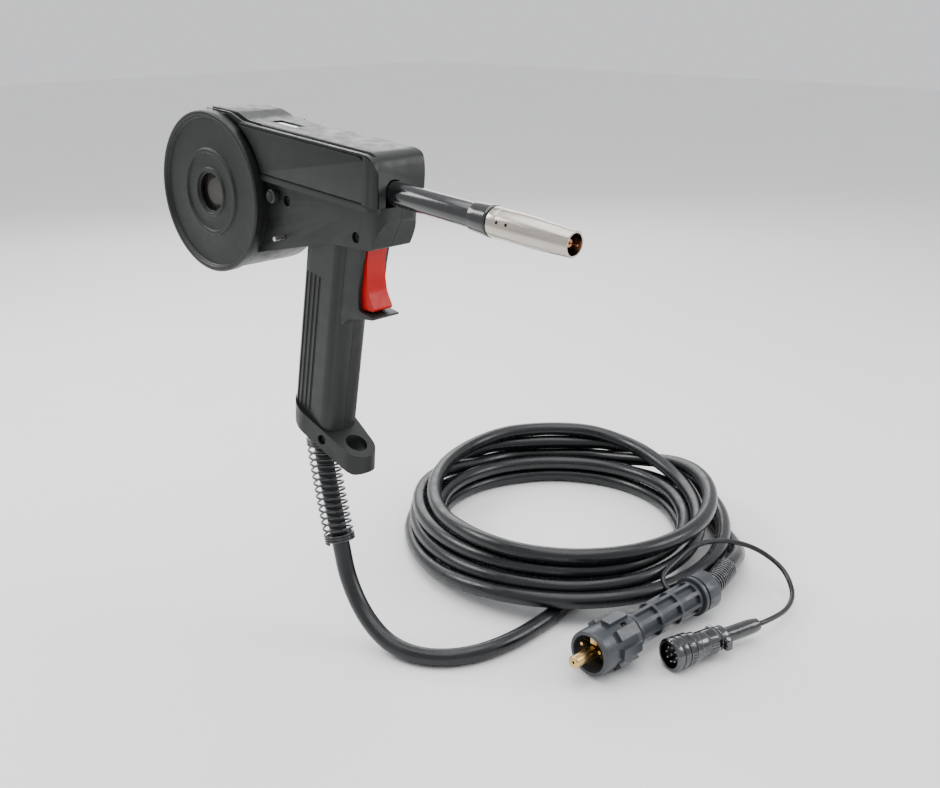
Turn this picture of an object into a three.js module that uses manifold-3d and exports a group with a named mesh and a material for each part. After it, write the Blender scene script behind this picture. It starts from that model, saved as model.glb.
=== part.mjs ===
// MIG spool gun with its power cable, central-adaptor plug and multi-pin control connector.
// Millimetres, +Z up. The origin is the centre of the grip; +X runs along the barrel, level with
// the floor; +Y is the gun's left. The gun itself is held a few degrees nose-down, the cable lies
// in a coil on the floor. Gun pieces are drawn in the "gun frame": its origin is the centre of the
// spool cover's outer face, X along the barrel, Z square to it.
import * as THREE from 'three';
import { mergeVertices } from 'three/addons/utils/BufferGeometryUtils.js';
import Module from 'manifold-3d';

const wasm = await Module();
wasm.setup();

const GAP = 0.3;                       // clearance between pieces that fit together
const NOSE_DOWN = THREE.MathUtils.degToRad(4.64);
const GRIP = [117, 32, -95];           // grip centre in the gun frame
const FLOOR_Z = -258;

// spool drum, about the Y axis of the gun frame
const COVER_R = 63.6;
const COVER_RIM_R = 59.3;
const COVER_DEPTH = 8;
const DRUM_R = 62;
const DRUM_WALL = 2.8;
const DRUM_BACK_Y = 70;
const SPOOL_R = 50;                    // standard 100 mm wire spool
const SPOOL_Y = [10, 53];
const WINDING_R = 33.2;

// body
const BARREL_Y = 26;
const BARREL_Z = 33.5;
const CENTRE_Y = 32;                   // parting plane of the lower body and grip
const FRONT_X = 190;
const SEAM_Z = 24;                     // upper housing above, lower body below
const TOP_Z = 61;
const BAND_BACK_X = -12;
const BAND_Z = 65.4;                   // the housing rises over the drum
const LEDGE_Z = 57.5;
const DOOR_TOP_Z = 60;
const DOOR_Y = 6;
const DOOR_BACK_X = 40;
const FRAME_Y = 10.5;                  // near edge of the upper housing
const FAR_Y = 58;
const LOWER_HALF_WIDTH = 19;
const WALL = 2.6;

// grip
const GRIP_RAKE = Math.atan(0.1035);
const GRIP_LENGTH = 46;
const GRIP_WIDTH = 34;
const GRIP_CORNER = 11;
const GRIP_TOP_X = 124.5;              // grip axis where it meets the body, at GRIP_TOP_Z
const GRIP_TOP_Z = -20;
const WINDOW_X = [47, 77];
const WINDOW_Y = [27, 37];
const FLANGE_SLOPE = 0.42;
const FLANGE_DEPTH = 17;
const FLANGE_SCREW = [127, 0, -174.6];
const CABLE_HOLE_X = 105;
const EYE_X = 148;
const EYE_R = 15;
const EYE_HOLE_R = 8.5;

// barrel
const NECK_R = 8.7;
const SLEEVE_X = [267, 283.5];
const NOZZLE_X = [284, 350];
const NOZZLE_R = [10.3, 8.6];

// wire drive
const WIRE_R = 0.5;
const ROLL_X = 140;
const DRIVE_ROLL_R = 13;
const PRESSURE_ROLL_R = 9.5;
const PIVOT = [116, 50];

// cables
const CABLE_R = 7.25;
const CONTROL_R = 2.25;
const COIL_CENTRE = [14, 276];
const COIL_TURN = THREE.MathUtils.degToRad(43.7);  // the coil is a little longer this way
const COIL_SEMI = [139, 146];
const COIL_ROWS = 4;
const COIL_COLUMNS = 2;

// plug on the floor, drawn along its own axis from the tip of the contact pin
const PLUG_TIP = [197.8, 63.8];
const PLUG_HEADING = THREE.MathUtils.degToRad(86.8);
const PLUG_NUT_R = 21.5;
const PLUG_BODY_R = 15.5;
const PLUG_S = { nut: 18, ribs: 33, collar: 62, body: 70, flange: 150, cap: 156, end: 171 };
const CONNECTOR_FRONT = [238.5, 135];
const CONNECTOR_HEADING = THREE.MathUtils.degToRad(74);
const CONNECTOR_R = 13.5;

const COLOURS = {
  shell: { color: 0x3b403d, roughness: 0.62, metalness: 0 },
  dark: { color: 0x232624, roughness: 0.5, metalness: 0 },
  red: { color: 0xc42b24, roughness: 0.45, metalness: 0 },
  clear: { color: 0xbfc9cc, roughness: 0.1, metalness: 0 },
  steel: { color: 0xa9abad, roughness: 0.35, metalness: 1 },
  nickel: { color: 0xb9b5ad, roughness: 0.22, metalness: 1 },
  brass: { color: 0xb8934c, roughness: 0.3, metalness: 1 },
  copper: { color: 0xb87352, roughness: 0.3, metalness: 1 },
  chrome: { color: 0x6d6f72, roughness: 0.25, metalness: 1 },
  rubber: { color: 0x23272b, roughness: 0.48, metalness: 0 },
  plug: { color: 0x4d545c, roughness: 0.55, metalness: 0 },
  spool: { color: 0x7c776c, roughness: 0.6, metalness: 0 },
  wire: { color: 0xa8794f, roughness: 0.35, metalness: 1 },
};

const torch = new THREE.Group();
torch.name = 'mig_spool_gun';
const gun = new THREE.Group();
const plug = new THREE.Group();
const connector = new THREE.Group();
torch.add(gun, plug, connector);

// ---------------------------------------------------------------- solids

function solid(geometry) {
  const bare = new THREE.BufferGeometry();
  bare.setAttribute('position', geometry.getAttribute('position'));
  bare.setIndex(geometry.getIndex());
  const merged = mergeVertices(bare, 1e-4);
  const index = merged.getIndex().array;
  const corners = [];
  for (let i = 0; i < index.length; i += 3) {
    const [a, b, c] = [index[i], index[i + 1], index[i + 2]];
    if (a !== b && b !== c && a !== c) corners.push(a, b, c);
  }
  const vertProperties = new Float32Array(merged.getAttribute('position').array);
  const made = new wasm.Manifold(
    new wasm.Mesh({ numProp: 3, vertProperties, triVerts: new Uint32Array(corners) }),
  );
  if (made.volume() > 0) return made;
  for (let i = 0; i < corners.length; i += 3) {
    [corners[i + 1], corners[i + 2]] = [corners[i + 2], corners[i + 1]];
  }
  return new wasm.Manifold(
    new wasm.Mesh({ numProp: 3, vertProperties, triVerts: new Uint32Array(corners) }),
  );
}

function geometryOf(body) {
  const mesh = body.getMesh();
  const geometry = new THREE.BufferGeometry();
  geometry.setAttribute('position', new THREE.BufferAttribute(mesh.vertProperties, 3));
  geometry.setIndex(new THREE.BufferAttribute(mesh.triVerts, 1));
  return geometry;
}

function join(...bodies) {
  return bodies.reduce((all, next) => all.add(next));
}

function cut(body, ...tools) {
  return tools.reduce((left, tool) => left.subtract(tool), body);
}

function box(x, y, z) {
  const geometry = new THREE.BoxGeometry(x[1] - x[0], y[1] - y[0], z[1] - z[0]);
  return solid(geometry.translate((x[0] + x[1]) / 2, (y[0] + y[1]) / 2, (z[0] + z[1]) / 2));
}

const AXES = {
  x: new THREE.Matrix4().makeRotationZ(-Math.PI / 2),
  y: new THREE.Matrix4(),
  z: new THREE.Matrix4().makeRotationX(Math.PI / 2),
};

// A turned solid; profile holds [radius, distance along the axis].
function turned(profile, axis, at = [0, 0, 0], segments = 28) {
  const points = profile.map(([r, s]) => new THREE.Vector2(r, s));
  const closed = profile[0][0] > 0;
  if (closed) points.push(points[0].clone());
  const geometry = new THREE.LatheGeometry(points, segments);
  return solid(geometry.applyMatrix4(AXES[axis]).translate(...at));
}

function rod(radius, axis, from, to, at = [0, 0, 0], segments = 16) {
  return turned([[0, from], [radius, from], [radius, to], [0, to]], axis, at, segments);
}

function tube(inner, outer, axis, from, to, at = [0, 0, 0], segments = 24) {
  return turned([[inner, from], [outer, from], [outer, to], [inner, to]], axis, at, segments);
}

function outline(points) {
  return new THREE.Shape(points.map(([a, b]) => new THREE.Vector2(a, b)));
}

function roundedOutline(width, height, radius, steps = 5) {
  const points = [];
  const corners = [[1, 1, 0], [-1, 1, 90], [-1, -1, 180], [1, -1, 270]];
  for (const [sx, sy, start] of corners) {
    for (let i = 0; i <= steps; i += 1) {
      const a = THREE.MathUtils.degToRad(start + (90 * i) / steps);
      points.push([
        sx * (width / 2 - radius) + radius * Math.cos(a),
        sy * (height / 2 - radius) + radius * Math.sin(a),
      ]);
    }
  }
  return points;
}

function prism(points, length) {
  const shape = Array.isArray(points) ? outline(points) : points;
  return new THREE.ExtrudeGeometry(shape, { depth: length, bevelEnabled: false, curveSegments: 12 });
}

// Outline in X and Z, filled from y[0] to y[1].
function sidePrism(points, y) {
  return solid(prism(points, y[1] - y[0]).rotateX(Math.PI / 2).translate(0, y[1], 0));
}

// Outline in Y and Z, filled from x[0] to x[1].
function frontPrism(points, x) {
  const basis = new THREE.Matrix4().makeBasis(
    new THREE.Vector3(0, 1, 0), new THREE.Vector3(0, 0, 1), new THREE.Vector3(1, 0, 0),
  );
  return solid(prism(points, x[1] - x[0]).applyMatrix4(basis).translate(x[0], 0, 0));
}

// Outline in X and Y, filled from z[0] to z[1].
function planPrism(points, z) {
  return solid(prism(points, z[1] - z[0]).translate(0, 0, z[0]));
}

function circle(radius, sides) {
  const points = [];
  for (let i = 0; i < sides; i += 1) {
    const a = (i / sides) * 2 * Math.PI;
    points.push([radius * Math.cos(a), radius * Math.sin(a)]);
  }
  return points;
}

function swept(path, radius, steps, sides) {
  return new THREE.ExtrudeGeometry(outline(circle(radius, sides)), {
    steps, extrudePath: path, bevelEnabled: false,
  });
}

class Helix extends THREE.Curve {
  constructor(radius, pitches, from, to) {
    super();
    this.radius = radius;
    this.pitches = pitches;
    this.from = from;
    this.to = to;
  }

  getPoint(t, target = new THREE.Vector3()) {
    const a = 2 * Math.PI * this.pitches * t;
    const s = this.from + (this.to - this.from) * t;
    return target.set(this.radius * Math.cos(a), s, this.radius * Math.sin(a));
  }
}

// A coil spring about the given axis; ends are left open.
function spring(radius, wire, turns, axis, from, to, at = [0, 0, 0], perTurn = 7, sides = 3) {
  const geometry = swept(new Helix(radius, turns, from + wire, to - wire), wire, turns * perTurn, sides);
  return solid(geometry.applyMatrix4(AXES[axis]).translate(...at));
}

// ---------------------------------------------------------------- frames

gun.rotation.y = NOSE_DOWN;
gun.position.set(...GRIP).negate().applyEuler(gun.rotation);

// Lays a group on the floor: its own +X is the heading, its origin at the given height.
function layOnFloor(group, [x, y], heading, height) {
  group.position.set(x, y, FLOOR_Z + height);
  group.rotation.z = heading;
  group.updateMatrix();
}

layOnFloor(plug, PLUG_TIP, PLUG_HEADING, PLUG_NUT_R + 0.2);
layOnFloor(connector, CONNECTOR_FRONT, CONNECTOR_HEADING, CONNECTOR_R + 0.2);

function pointOf(group, ...local) {
  return new THREE.Vector3(...local).applyMatrix4(group.matrix).toArray();
}

function addPart(name, body, material, group = gun) {
  const geometry = geometryOf(body).toNonIndexed();
  geometry.computeVertexNormals();
  const mesh = new THREE.Mesh(geometry, new THREE.MeshStandardMaterial(COLOURS[material]));
  mesh.name = name;
  group.add(mesh);
  return mesh;
}

// ---------------------------------------------------------------- spool drum

function spoolCover() {
  return turned([
    [15, 3.4], [15, 6], [53.7, 6], [53.7, 12], [56.3, 12], [56.3, COVER_DEPTH], [COVER_R, COVER_DEPTH],
    [COVER_R, 1], [COVER_R - 1, 0], [COVER_RIM_R, 0], [COVER_RIM_R - 0.6, 3], [34, 3], [34, 1.6],
    [31, 1.6], [31, 3], [19, 3], [19, 1.8], [17, 1.8], [17, 3.4],
  ], 'y', [0, 0, 0], 36);
}

function drumHousing() {
  const inner = DRUM_R - DRUM_WALL;
  const cup = turned([
    [0, DRUM_BACK_Y - DRUM_WALL], [inner, DRUM_BACK_Y - DRUM_WALL], [inner, COVER_DEPTH + 0.6],
    [DRUM_R, COVER_DEPTH + 0.6], [DRUM_R, DRUM_BACK_Y - 3], [DRUM_R - 3, DRUM_BACK_Y],
    [0, DRUM_BACK_Y],
  ], 'y', [0, 0, 0], 44);
  const wireExit = box([40, 70], [BARREL_Y - 5, BARREL_Y + 5], [BARREL_Z - 6, BARREL_Z + 6]);
  const hangerTab = box([-64.5, -56], [12, 24], [24, 32]);
  const hollow = rod(inner - 0.5, 'y', COVER_DEPTH, DRUM_BACK_Y - DRUM_WALL, [0, 0, 0], 44);
  return cut(join(cup, cut(hangerTab, hollow)), wireExit);
}

function wireSpool() {
  const [near, far] = SPOOL_Y;
  return turned([
    [8.3, near], [SPOOL_R, near], [SPOOL_R, near + 2.4], [22, near + 2.4], [22, far - 2.4],
    [SPOOL_R, far - 2.4], [SPOOL_R, far], [8.3, far],
  ], 'y', [0, 0, 0], 32);
}

function addDrum() {
  const [near, far] = SPOOL_Y;
  addPart('spool_cover', spoolCover(), 'shell');
  addPart('drum_housing', drumHousing(), 'shell');
  addPart('wire_spool', wireSpool(), 'spool');
  const winding = tube(22.2, WINDING_R - WIRE_R, 'y', near + 2.7, far - 2.7, [0, 0, 0], 32);
  addPart('wire_winding', winding, 'wire');
  const spindle = join(
    rod(7.9, 'y', near + 0.4, 66.9, [0, 0, 0], 20), rod(16, 'y', 63.4, 66.9, [0, 0, 0], 20),
  );
  addPart('spool_spindle', cut(spindle, rod(3.1, 'y', near, 32)), 'dark');
  const knob = turned([
    [0, 6.4], [11.4, 6.4], [12.5, 7.4], [12.5, 9.7], [2.8, 9.7], [2.8, 29], [0, 29],
  ], 'y', [0, 0, 0], 22);
  addPart('spindle_nut', cut(knob, box([-9, 9], [6, 7.4], [-0.9, 0.9])), 'spool');
  addPart('brake_spring', spring(10.8, 1, 4, 'y', far + GAP, 63.1), 'steel');
}

// ---------------------------------------------------------------- body

function drumClearance() {
  return rod(DRUM_R + GAP, 'y', -5, 80, [0, 0, 0], 44);
}

function upperHousing() {
  const section = [
    [FRAME_Y, SEAM_Z + GAP], [FAR_Y - 1, SEAM_Z + GAP], [FAR_Y, 28], [FAR_Y, 55.5],
    [FAR_Y - 1, 58.6], [FAR_Y - 3.6, TOP_Z], [FAR_Y - 6, BAND_Z], [15.6, BAND_Z],
    [15, TOP_Z - 1], [14.4, LEDGE_Z], [FRAME_Y, LEDGE_Z],
  ];
  const profile = [
    [BAND_BACK_X, SEAM_Z], [FRONT_X, SEAM_Z], [FRONT_X, 33], [FRONT_X - 5, 50], [FRONT_X - 10, 57],
    [FRONT_X - 16, 60], [FRONT_X - 23, TOP_Z - 0.3], [42, TOP_Z], [34, 61.6], [28, 63.2],
    [22, 64.8], [15, BAND_Z], [BAND_BACK_X, BAND_Z],
  ];
  const outer = frontPrism(section, [BAND_BACK_X, FRONT_X]).intersect(sidePrism(profile, [0, 64]));
  const room = join(
    box([30, 181.4], [17, FAR_Y - WALL], [0, 50]),
    box([30, 174], [17, FAR_Y - WALL], [0, LEDGE_Z]),
  );
  const doorway = box([30, 176], [0, 20], [0, LEDGE_Z - 3]);
  const loft = box([40, 164], [22, FAR_Y - 8], [40, TOP_Z - 2.3]);
  const arch = [[BARREL_Y - 9.4, 20]];
  for (let i = 0; i <= 10; i += 1) {
    const a = Math.PI - (i / 10) * Math.PI;
    arch.push([BARREL_Y + 9.4 * Math.cos(a), BARREL_Z + 9.4 * Math.sin(a)]);
  }
  arch.push([BARREL_Y + 9.4, 20]);
  const neckArch = frontPrism(arch, [170, FRONT_X + 5]);
  const window = box(WINDOW_X, WINDOW_Y, [55, 70]);
  const underCover = rod(COVER_R + 0.4, 'y', -5, COVER_DEPTH + 3, [0, 0, 0], 44);
  return cut(outer, room, doorway, loft, neckArch, window, drumClearance(), underCover);
}

function sideDoor() {
  const nose = FRONT_X - 1;
  const profile = [
    [DOOR_BACK_X, SEAM_Z], [nose, SEAM_Z], [nose, 47], [nose - 4, 55.4], [nose - 13, DOOR_TOP_Z],
    [DOOR_BACK_X, DOOR_TOP_Z],
  ];
  const plan = [
    [DOOR_BACK_X, DOOR_Y], [nose - 11, DOOR_Y], [nose - 4.5, DOOR_Y + 1], [nose - 1, DOOR_Y + 2.6],
    [nose, FRAME_Y - GAP], [DOOR_BACK_X, FRAME_Y - GAP],
  ];
  const panel = sidePrism(profile, [0, 20]).intersect(planPrism(plan, [SEAM_Z, DOOR_TOP_Z]));
  const lip = box(
    [DOOR_BACK_X, 175.7], [DOOR_Y + 1, CENTRE_Y - LOWER_HALF_WIDTH - GAP], [SEAM_Z - 3, SEAM_Z + 1],
  );
  const hollow = box([DOOR_BACK_X, nose - 15], [DOOR_Y + 2, 20], [SEAM_Z + 2.6, LEDGE_Z - 4]);
  const pull = box([150, 166], [0, DOOR_Y + 1], [SEAM_Z + 2, SEAM_Z + 5]);
  const cover = rod(COVER_R + 1.6, 'y', -5, 30, [0, 0, 0], 44);
  return cut(join(panel, lip), hollow, pull, cover);
}

// Grip axis: a point at height z, and a length of rounded section along it.
function gripColumn(length, width, corner, from, to) {
  const geometry = prism(roundedOutline(length, width, corner), to - from);
  geometry.translate(0, 0, from - GRIP_TOP_Z);
  geometry.rotateY(GRIP_RAKE);
  return solid(geometry.translate(GRIP_TOP_X, CENTRE_Y, GRIP_TOP_Z));
}

function gripGrooves() {
  const grooves = [];
  const reach = GRIP_WIDTH / 2;
  for (const side of [-1, 1]) {
    for (let i = 0; i < 5; i += 1) {
      const geometry = new THREE.BoxGeometry(1.3, 2.4, 113);
      const x = -GRIP_LENGTH / 2 + 3 + i * 5;
      const y = side * (reach - [3.1, 0.5, 0, 0, 0][i]);
      geometry.translate(x, y, -78.5);
      geometry.rotateY(GRIP_RAKE);
      grooves.push(solid(geometry.translate(GRIP_TOP_X, CENTRE_Y, GRIP_TOP_Z)));
    }
  }
  return join(...grooves);
}

const FLANGE_TOP = (x) => -158.1 - FLANGE_SLOPE * (x - 108);

function lowerShell() {
  const side = [CENTRE_Y - LOWER_HALF_WIDTH, CENTRE_Y + LOWER_HALF_WIDTH];
  const body = sidePrism([
    [40, SEAM_Z - GAP], [40, -42.5], [52, -38.5], [135, -13], [FRONT_X - 10, -8.5], [FRONT_X, 14],
    [FRONT_X, SEAM_Z - GAP],
  ], side);
  const guard = sidePrism([
    [130, -5], [166.5, -6], [163, -25], [160.8, -45], [161.5, -59], [178, -60.6], [177, -62.4],
    [160, -65.4], [150, -68.5], [143, -76], [130, -76],
  ], [CENTRE_Y - 13, CENTRE_Y + 13]);
  const grip = gripColumn(GRIP_LENGTH, GRIP_WIDTH, GRIP_CORNER, -172, -10);
  const bodyRoom = sidePrism([
    [40, 40], [40, -35], [52, -35.5], [135, -10.2], [FRONT_X - 12, -5.8], [FRONT_X - WALL, 14.6],
    [FRONT_X - WALL, 40],
  ], [side[0] + WALL, side[1] - WALL]);
  const gripRoom = gripColumn(GRIP_LENGTH - 6, GRIP_WIDTH - 6, GRIP_CORNER - 3, -190, 0);
  const slot = join(
    box([126, 190], [CENTRE_Y - 9.6, CENTRE_Y + 9.6], [-59.4, -8.6]),
    box([126, 170], [CENTRE_Y - 9.6, CENTRE_Y + 9.6], [-9, 2]),
  );
  const foot = sidePrism([
    [60, FLANGE_TOP(60) + 0.2], [200, FLANGE_TOP(200) + 0.2], [200, -230], [60, -230],
  ], [0, 64]);
  const neckSeat = rod(NECK_R + 0.7, 'x', 165, 190, [0, BARREL_Y, BARREL_Z]);
  return cut(
    join(body, guard, grip), bodyRoom, gripRoom, slot, foot, neckSeat, drumClearance(),
    rod(COVER_R + 0.6, 'y', -5, COVER_DEPTH + 3, [0, 0, 0], 44), gripGrooves(),
  );
}

const inset = ([from, to], by) => [from + by, to - by];

const SCREW_SITES = [[84.5, 8.5], [163.5, -2]];
const COVER_PIN = [82, 0, -20];
const SCREW_HEAD_R = 3.2;

function bossAt([x, z], y) {
  return rod(4.6, 'y', y[0], y[1], [x, 0, z], 12);
}

function addBody() {
  addPart('upper_housing', upperHousing(), 'shell');
  addPart('side_door', sideDoor(), 'shell');
  const window = join(
    box(inset(WINDOW_X, GAP), inset(WINDOW_Y, GAP), [57, 59.2]),
    box(inset(WINDOW_X, 2), inset(WINDOW_Y, 2), [59, 60]),
  );
  addPart('sight_window', cut(window, drumClearance()), 'clear');
  const nearY = CENTRE_Y - LOWER_HALF_WIDTH;
  const farY = CENTRE_Y + LOWER_HALF_WIDTH;
  const shell = lowerShell();
  const nearBosses = SCREW_SITES.map((site) => bossAt(site, [nearY + 0.4, CENTRE_Y - 0.1]));
  const farBosses = SCREW_SITES.map((site) => bossAt(site, [CENTRE_Y + 0.1, farY - 0.4]));
  const bores = SCREW_SITES.map(([x, z]) => rod(1.9, 'y', nearY - 1, farY - 4, [x, 0, z], 10));
  const sinks = SCREW_SITES.map(([x, z]) => rod(4, 'y', nearY - 1, nearY + 3.2, [x, 0, z], 12));
  const pinHole = rod(1.8, 'y', 0, 64, [151, 0, -5.5], 10);
  const near = join(shell.intersect(box([0, 220], [0, CENTRE_Y - 0.1], [-220, 60])), ...nearBosses);
  const far = join(shell.intersect(box([0, 220], [CENTRE_Y + 0.1, 70], [-220, 60])), ...farBosses);
  const stubHole = rod(4.3, 'y', 0, 20, [71, 0, 10], 12);
  const pinSeat = rod(2, 'y', 0, 20, COVER_PIN, 10);
  addPart('housing_right', cut(near, ...bores, ...sinks, pinHole, stubHole, pinSeat), 'shell');
  addPart('housing_left', cut(far, ...bores, pinHole), 'shell');
  SCREW_SITES.forEach(([x, z], i) => {
    const screw = join(
      rod(SCREW_HEAD_R, 'y', nearY + 0.8, nearY + 3, [x, 0, z], 12),
      rod(1.6, 'y', nearY + 2, farY - 5, [x, 0, z], 8),
    );
    const drive = [0, 1].map((k) => box(
      [x - (k ? 1.9 : 0.45), x + (k ? 1.9 : 0.45)], [nearY, nearY + 2],
      [z - (k ? 0.45 : 1.9), z + (k ? 0.45 : 1.9)],
    ));
    addPart(`housing_screw_${i + 1}`, cut(screw, ...drive), 'steel');
  });
  const stub = turned([
    [0, 8.4], [2, 7.6], [4.6, 7.2], [5.4, 8], [5.4, 12.7], [4, 12.7], [4, 18], [0, 18],
  ], 'y', [71, 0, 10], 16);
  addPart('cover_latch', stub, 'dark');
  addPart('cover_pin', rod(1.7, 'y', 2.5, 20, COVER_PIN, 10), 'steel');
}

// ---------------------------------------------------------------- wire drive

function gearHole(x, z, radius) {
  return rod(radius, 'y', 10, 60, [x, 0, z], 12);
}

function addDrive() {
  const rollZ = BARREL_Z - WIRE_R - GAP - DRIVE_ROLL_R;
  const upperZ = BARREL_Z + WIRE_R + GAP + PRESSURE_ROLL_R;
  const plate = sidePrism([
    [104, 10], [165, 10], [165, 56], [104, 56],
  ], [32.2, 34]);
  addPart('drive_plate', cut(plate, gearHole(ROLL_X, rollZ, 4), gearHole(...PIVOT, 2.8)), 'steel');
  const motor = turned([
    [0, 66], [3, 66], [3, 68], [10.2, 68], [10.2, 117], [7, 117], [7, 121], [0, 121],
  ], 'x', [0, 44.8, 40], 20);
  addPart('drive_motor', motor, 'steel');
  const gearbox = join(
    box([121.4, 158], [34.3, 47.8], [11, 34]), box([121.4, 150], [34.3, 54.8], [28, 52]),
    rod(3.6, 'y', 20, 36, [ROLL_X, 0, rollZ]),
  );
  addPart('gearbox', gearbox, 'dark');
  const roll = turned([
    [3.9, 21], [DRIVE_ROLL_R, 21], [DRIVE_ROLL_R, 25.2], [DRIVE_ROLL_R - 0.6, 26],
    [DRIVE_ROLL_R, 26.8], [DRIVE_ROLL_R, 31], [3.9, 31],
  ], 'y', [ROLL_X, 0, rollZ], 26);
  addPart('drive_roll', roll, 'steel');
  const cap = cut(rod(6.5, 'y', 16.6, 19.7, [ROLL_X, 0, rollZ]), box(
    [ROLL_X - 5, ROLL_X + 5], [16, 17.6], [rollZ - 0.8, rollZ + 0.8],
  ));
  addPart('drive_roll_screw', cap, 'dark');
  const arm = join(
    sidePrism([
      [109, 50], [112, 55], [150, 54], [164, 51], [166, 50], [166, 47.6], [150, 46.4], [146, 38.6],
      [134, 38.6], [128, 45], [112, 44.2],
    ], [17.2, 20.4]),
    rod(2.6, 'y', 19, 31, [ROLL_X, 0, upperZ], 12),
    box([152, 166], [20, 31], [47.8, 50.4]),
  );
  const armCuts = [gearHole(...PIVOT, 3.1), box([157, 168], [23.2, 28.8], [40, 60])];
  addPart('pressure_arm', cut(arm, ...armCuts), 'dark');
  addPart('pressure_roll', tube(2.9, PRESSURE_ROLL_R, 'y', 21.2, 30.8, [ROLL_X, 0, upperZ]), 'steel');
  const pivot = join(
    rod(2.6, 'y', 16.4, 36, [PIVOT[0], 0, PIVOT[1]], 12),
    tube(2.6, 4, 'y', 14.6, 16.9, [PIVOT[0], 0, PIVOT[1]], 12),
    rod(2.8, 'y', 14.6, 17, [PIVOT[0], 0, PIVOT[1]], 12),
    rod(4.6, 'y', 21, 31.8, [PIVOT[0], 0, PIVOT[1]], 12),
  );
  addPart('pressure_pivot', pivot, 'steel');
  const knob = join(
    rod(1.9, 'z', 38.9, 56.6, [160, 26, 0], 10), rod(3.8, 'z', 56.2, 58.4, [160, 26, 0], 10),
  );
  addPart('tension_knob', knob, 'dark');
  addPart('tension_spring', spring(3, 0.5, 3, 'z', 50.7, 55.9, [160, 26, 0]), 'steel');
  const guide = turned([
    [1.2, 96], [4.4, 96], [4.4, 124], [2.2, 130], [1.2, 130],
  ], 'x', [0, BARREL_Y, BARREL_Z], 12);
  const post = cut(box([98, 110], [23, 31.9], [26, 40]), rod(3, 'x', 90, 120, [0, BARREL_Y, BARREL_Z]));
  addPart('inlet_guide', join(guide, post), 'brass');
  const clampBlock = cut(
    join(
      box([158.4, 166.6], [17.4, 31.9], [BARREL_Z - 9.3, BARREL_Z + 6.4]),
      box([165.6, 180], [17.4, 35.4], [BARREL_Z - 9.3, BARREL_Z + 8.6]),
    ),
    rod(1.2, 'x', 150, 190, [0, BARREL_Y, BARREL_Z], 10),
    rod(7.3, 'x', 166, 190, [0, BARREL_Y, BARREL_Z], 22),
    box([154.4, 165.6], [15, 32.5], [38.5, 60]),
  );
  addPart('power_block', clampBlock, 'brass');
}

// ---------------------------------------------------------------- barrel

function addBarrel() {
  const at = [0, BARREL_Y, BARREL_Z];
  const neck = turned([
    [3.4, 166.4], [7, 166.4], [7, 181.2], [NECK_R, 181.2], [NECK_R, SLEEVE_X[0] + 5],
    [6.2, SLEEVE_X[0] + 5], [6.2, 280], [3.4, 280],
  ], 'x', at, 24);
  addPart('neck_tube', neck, 'dark');
  const sleeve = turned([
    [6.5, 272.4], [NECK_R + 0.3, 272.4], [NECK_R + 0.3, SLEEVE_X[0]], [10.1, SLEEVE_X[0]],
    [10.9, SLEEVE_X[1] - 1], [10.6, SLEEVE_X[1]], [6.5, SLEEVE_X[1]],
  ], 'x', at, 24);
  addPart('nozzle_sleeve', sleeve, 'dark');
  const diffuser = turned([
    [1, 280.6], [6.2, 280.6], [6.2, 310], [5, 318], [3.2, 318], [3.2, 300], [1, 300],
  ], 'x', at, 16);
  const gasHoles = ['y', 'z'].map((axis) => rod(1, axis, -10, 10, [0, 0, 0], 6)
    .translate([305, BARREL_Y, BARREL_Z]));
  addPart('gas_diffuser', cut(diffuser, ...gasHoles), 'brass');
  const tip = turned([
    [0.8, 311.4], [2.9, 311.4], [2.9, 318.4], [4, 318.4], [4, 341], [2.6, 346], [0.8, 346],
  ], 'x', at, 16);
  addPart('contact_tip', tip, 'copper');
  const [back, mouth] = NOZZLE_X;
  const nozzle = turned([
    [6.6, back], [NOZZLE_R[0], back], [NOZZLE_R[0], back + 34], [NOZZLE_R[1], mouth - 0.6],
    [NOZZLE_R[1] - 0.5, mouth], [7.2, mouth], [8.4, back + 30], [8.4, back + 24],
    [6.6, back + 20],
  ], 'x', at, 26);
  const vents = [0, 1].map((i) => rod(1.1, 'y', -30, 0, [back + 9 + i * 9, BARREL_Y, BARREL_Z + 3], 8));
  addPart('gas_nozzle', cut(nozzle, ...vents), 'nickel');
  addPart('welding_wire', rod(WIRE_R, 'x', 1, 352, at, 10), 'wire');
}

// ---------------------------------------------------------------- trigger

function addTrigger() {
  const side = [CENTRE_Y - 9, CENTRE_Y + 9];
  const pinAt = [151, 0, -5.5];
  const front = [[167, -7.8], [165.2, -22], [165.6, -34], [168, -45], [174.5, -55.6], [173.4, -57.4]];
  const body = sidePrism([
    [146.4, -5.5], [148, -1.8], [151, -0.6], [154, -1.8], [156, -7], ...front, [160, -58.6], [151, -56],
    [150, -40], [150, -34], [144, -34], [144, -30], [150, -30], [150, -12],
  ], side);
  const trigger = cut(
    body, rod(1.9, 'y', 0, 64, pinAt, 10), box([140, 156], [36.4, 45], [-12, 2]),
    box([140, 148], [20, CENTRE_Y - 4], [-36, -28]), box([140, 148], [CENTRE_Y + 4, 45], [-36, -28]),
  );
  addPart('trigger', trigger, 'red');
  addPart('trigger_pin', rod(1.6, 'y', 13.6, 50.4, pinAt, 10), 'steel');
  addPart('trigger_spring', spring(3, 0.45, 3, 'y', 36.7, 40.8, pinAt), 'steel');
  const switchBody = cut(
    box([124, 139.6], [CENTRE_Y - 4.5, CENTRE_Y + 4.5], [-42, -22]),
    box([135, 141], [CENTRE_Y - 2.4, CENTRE_Y + 2.4], [-34.4, -29.6]),
  );
  const bracket = box([110, 124.2], [CENTRE_Y - 4.5, CENTRE_Y + 4.5], [-38, -26]);
  addPart('microswitch', join(switchBody, bracket), 'dark');
  addPart('switch_button', box([137.6, 143.6], [CENTRE_Y - 2, CENTRE_Y + 2], [-34, -30]), 'steel');
}

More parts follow.
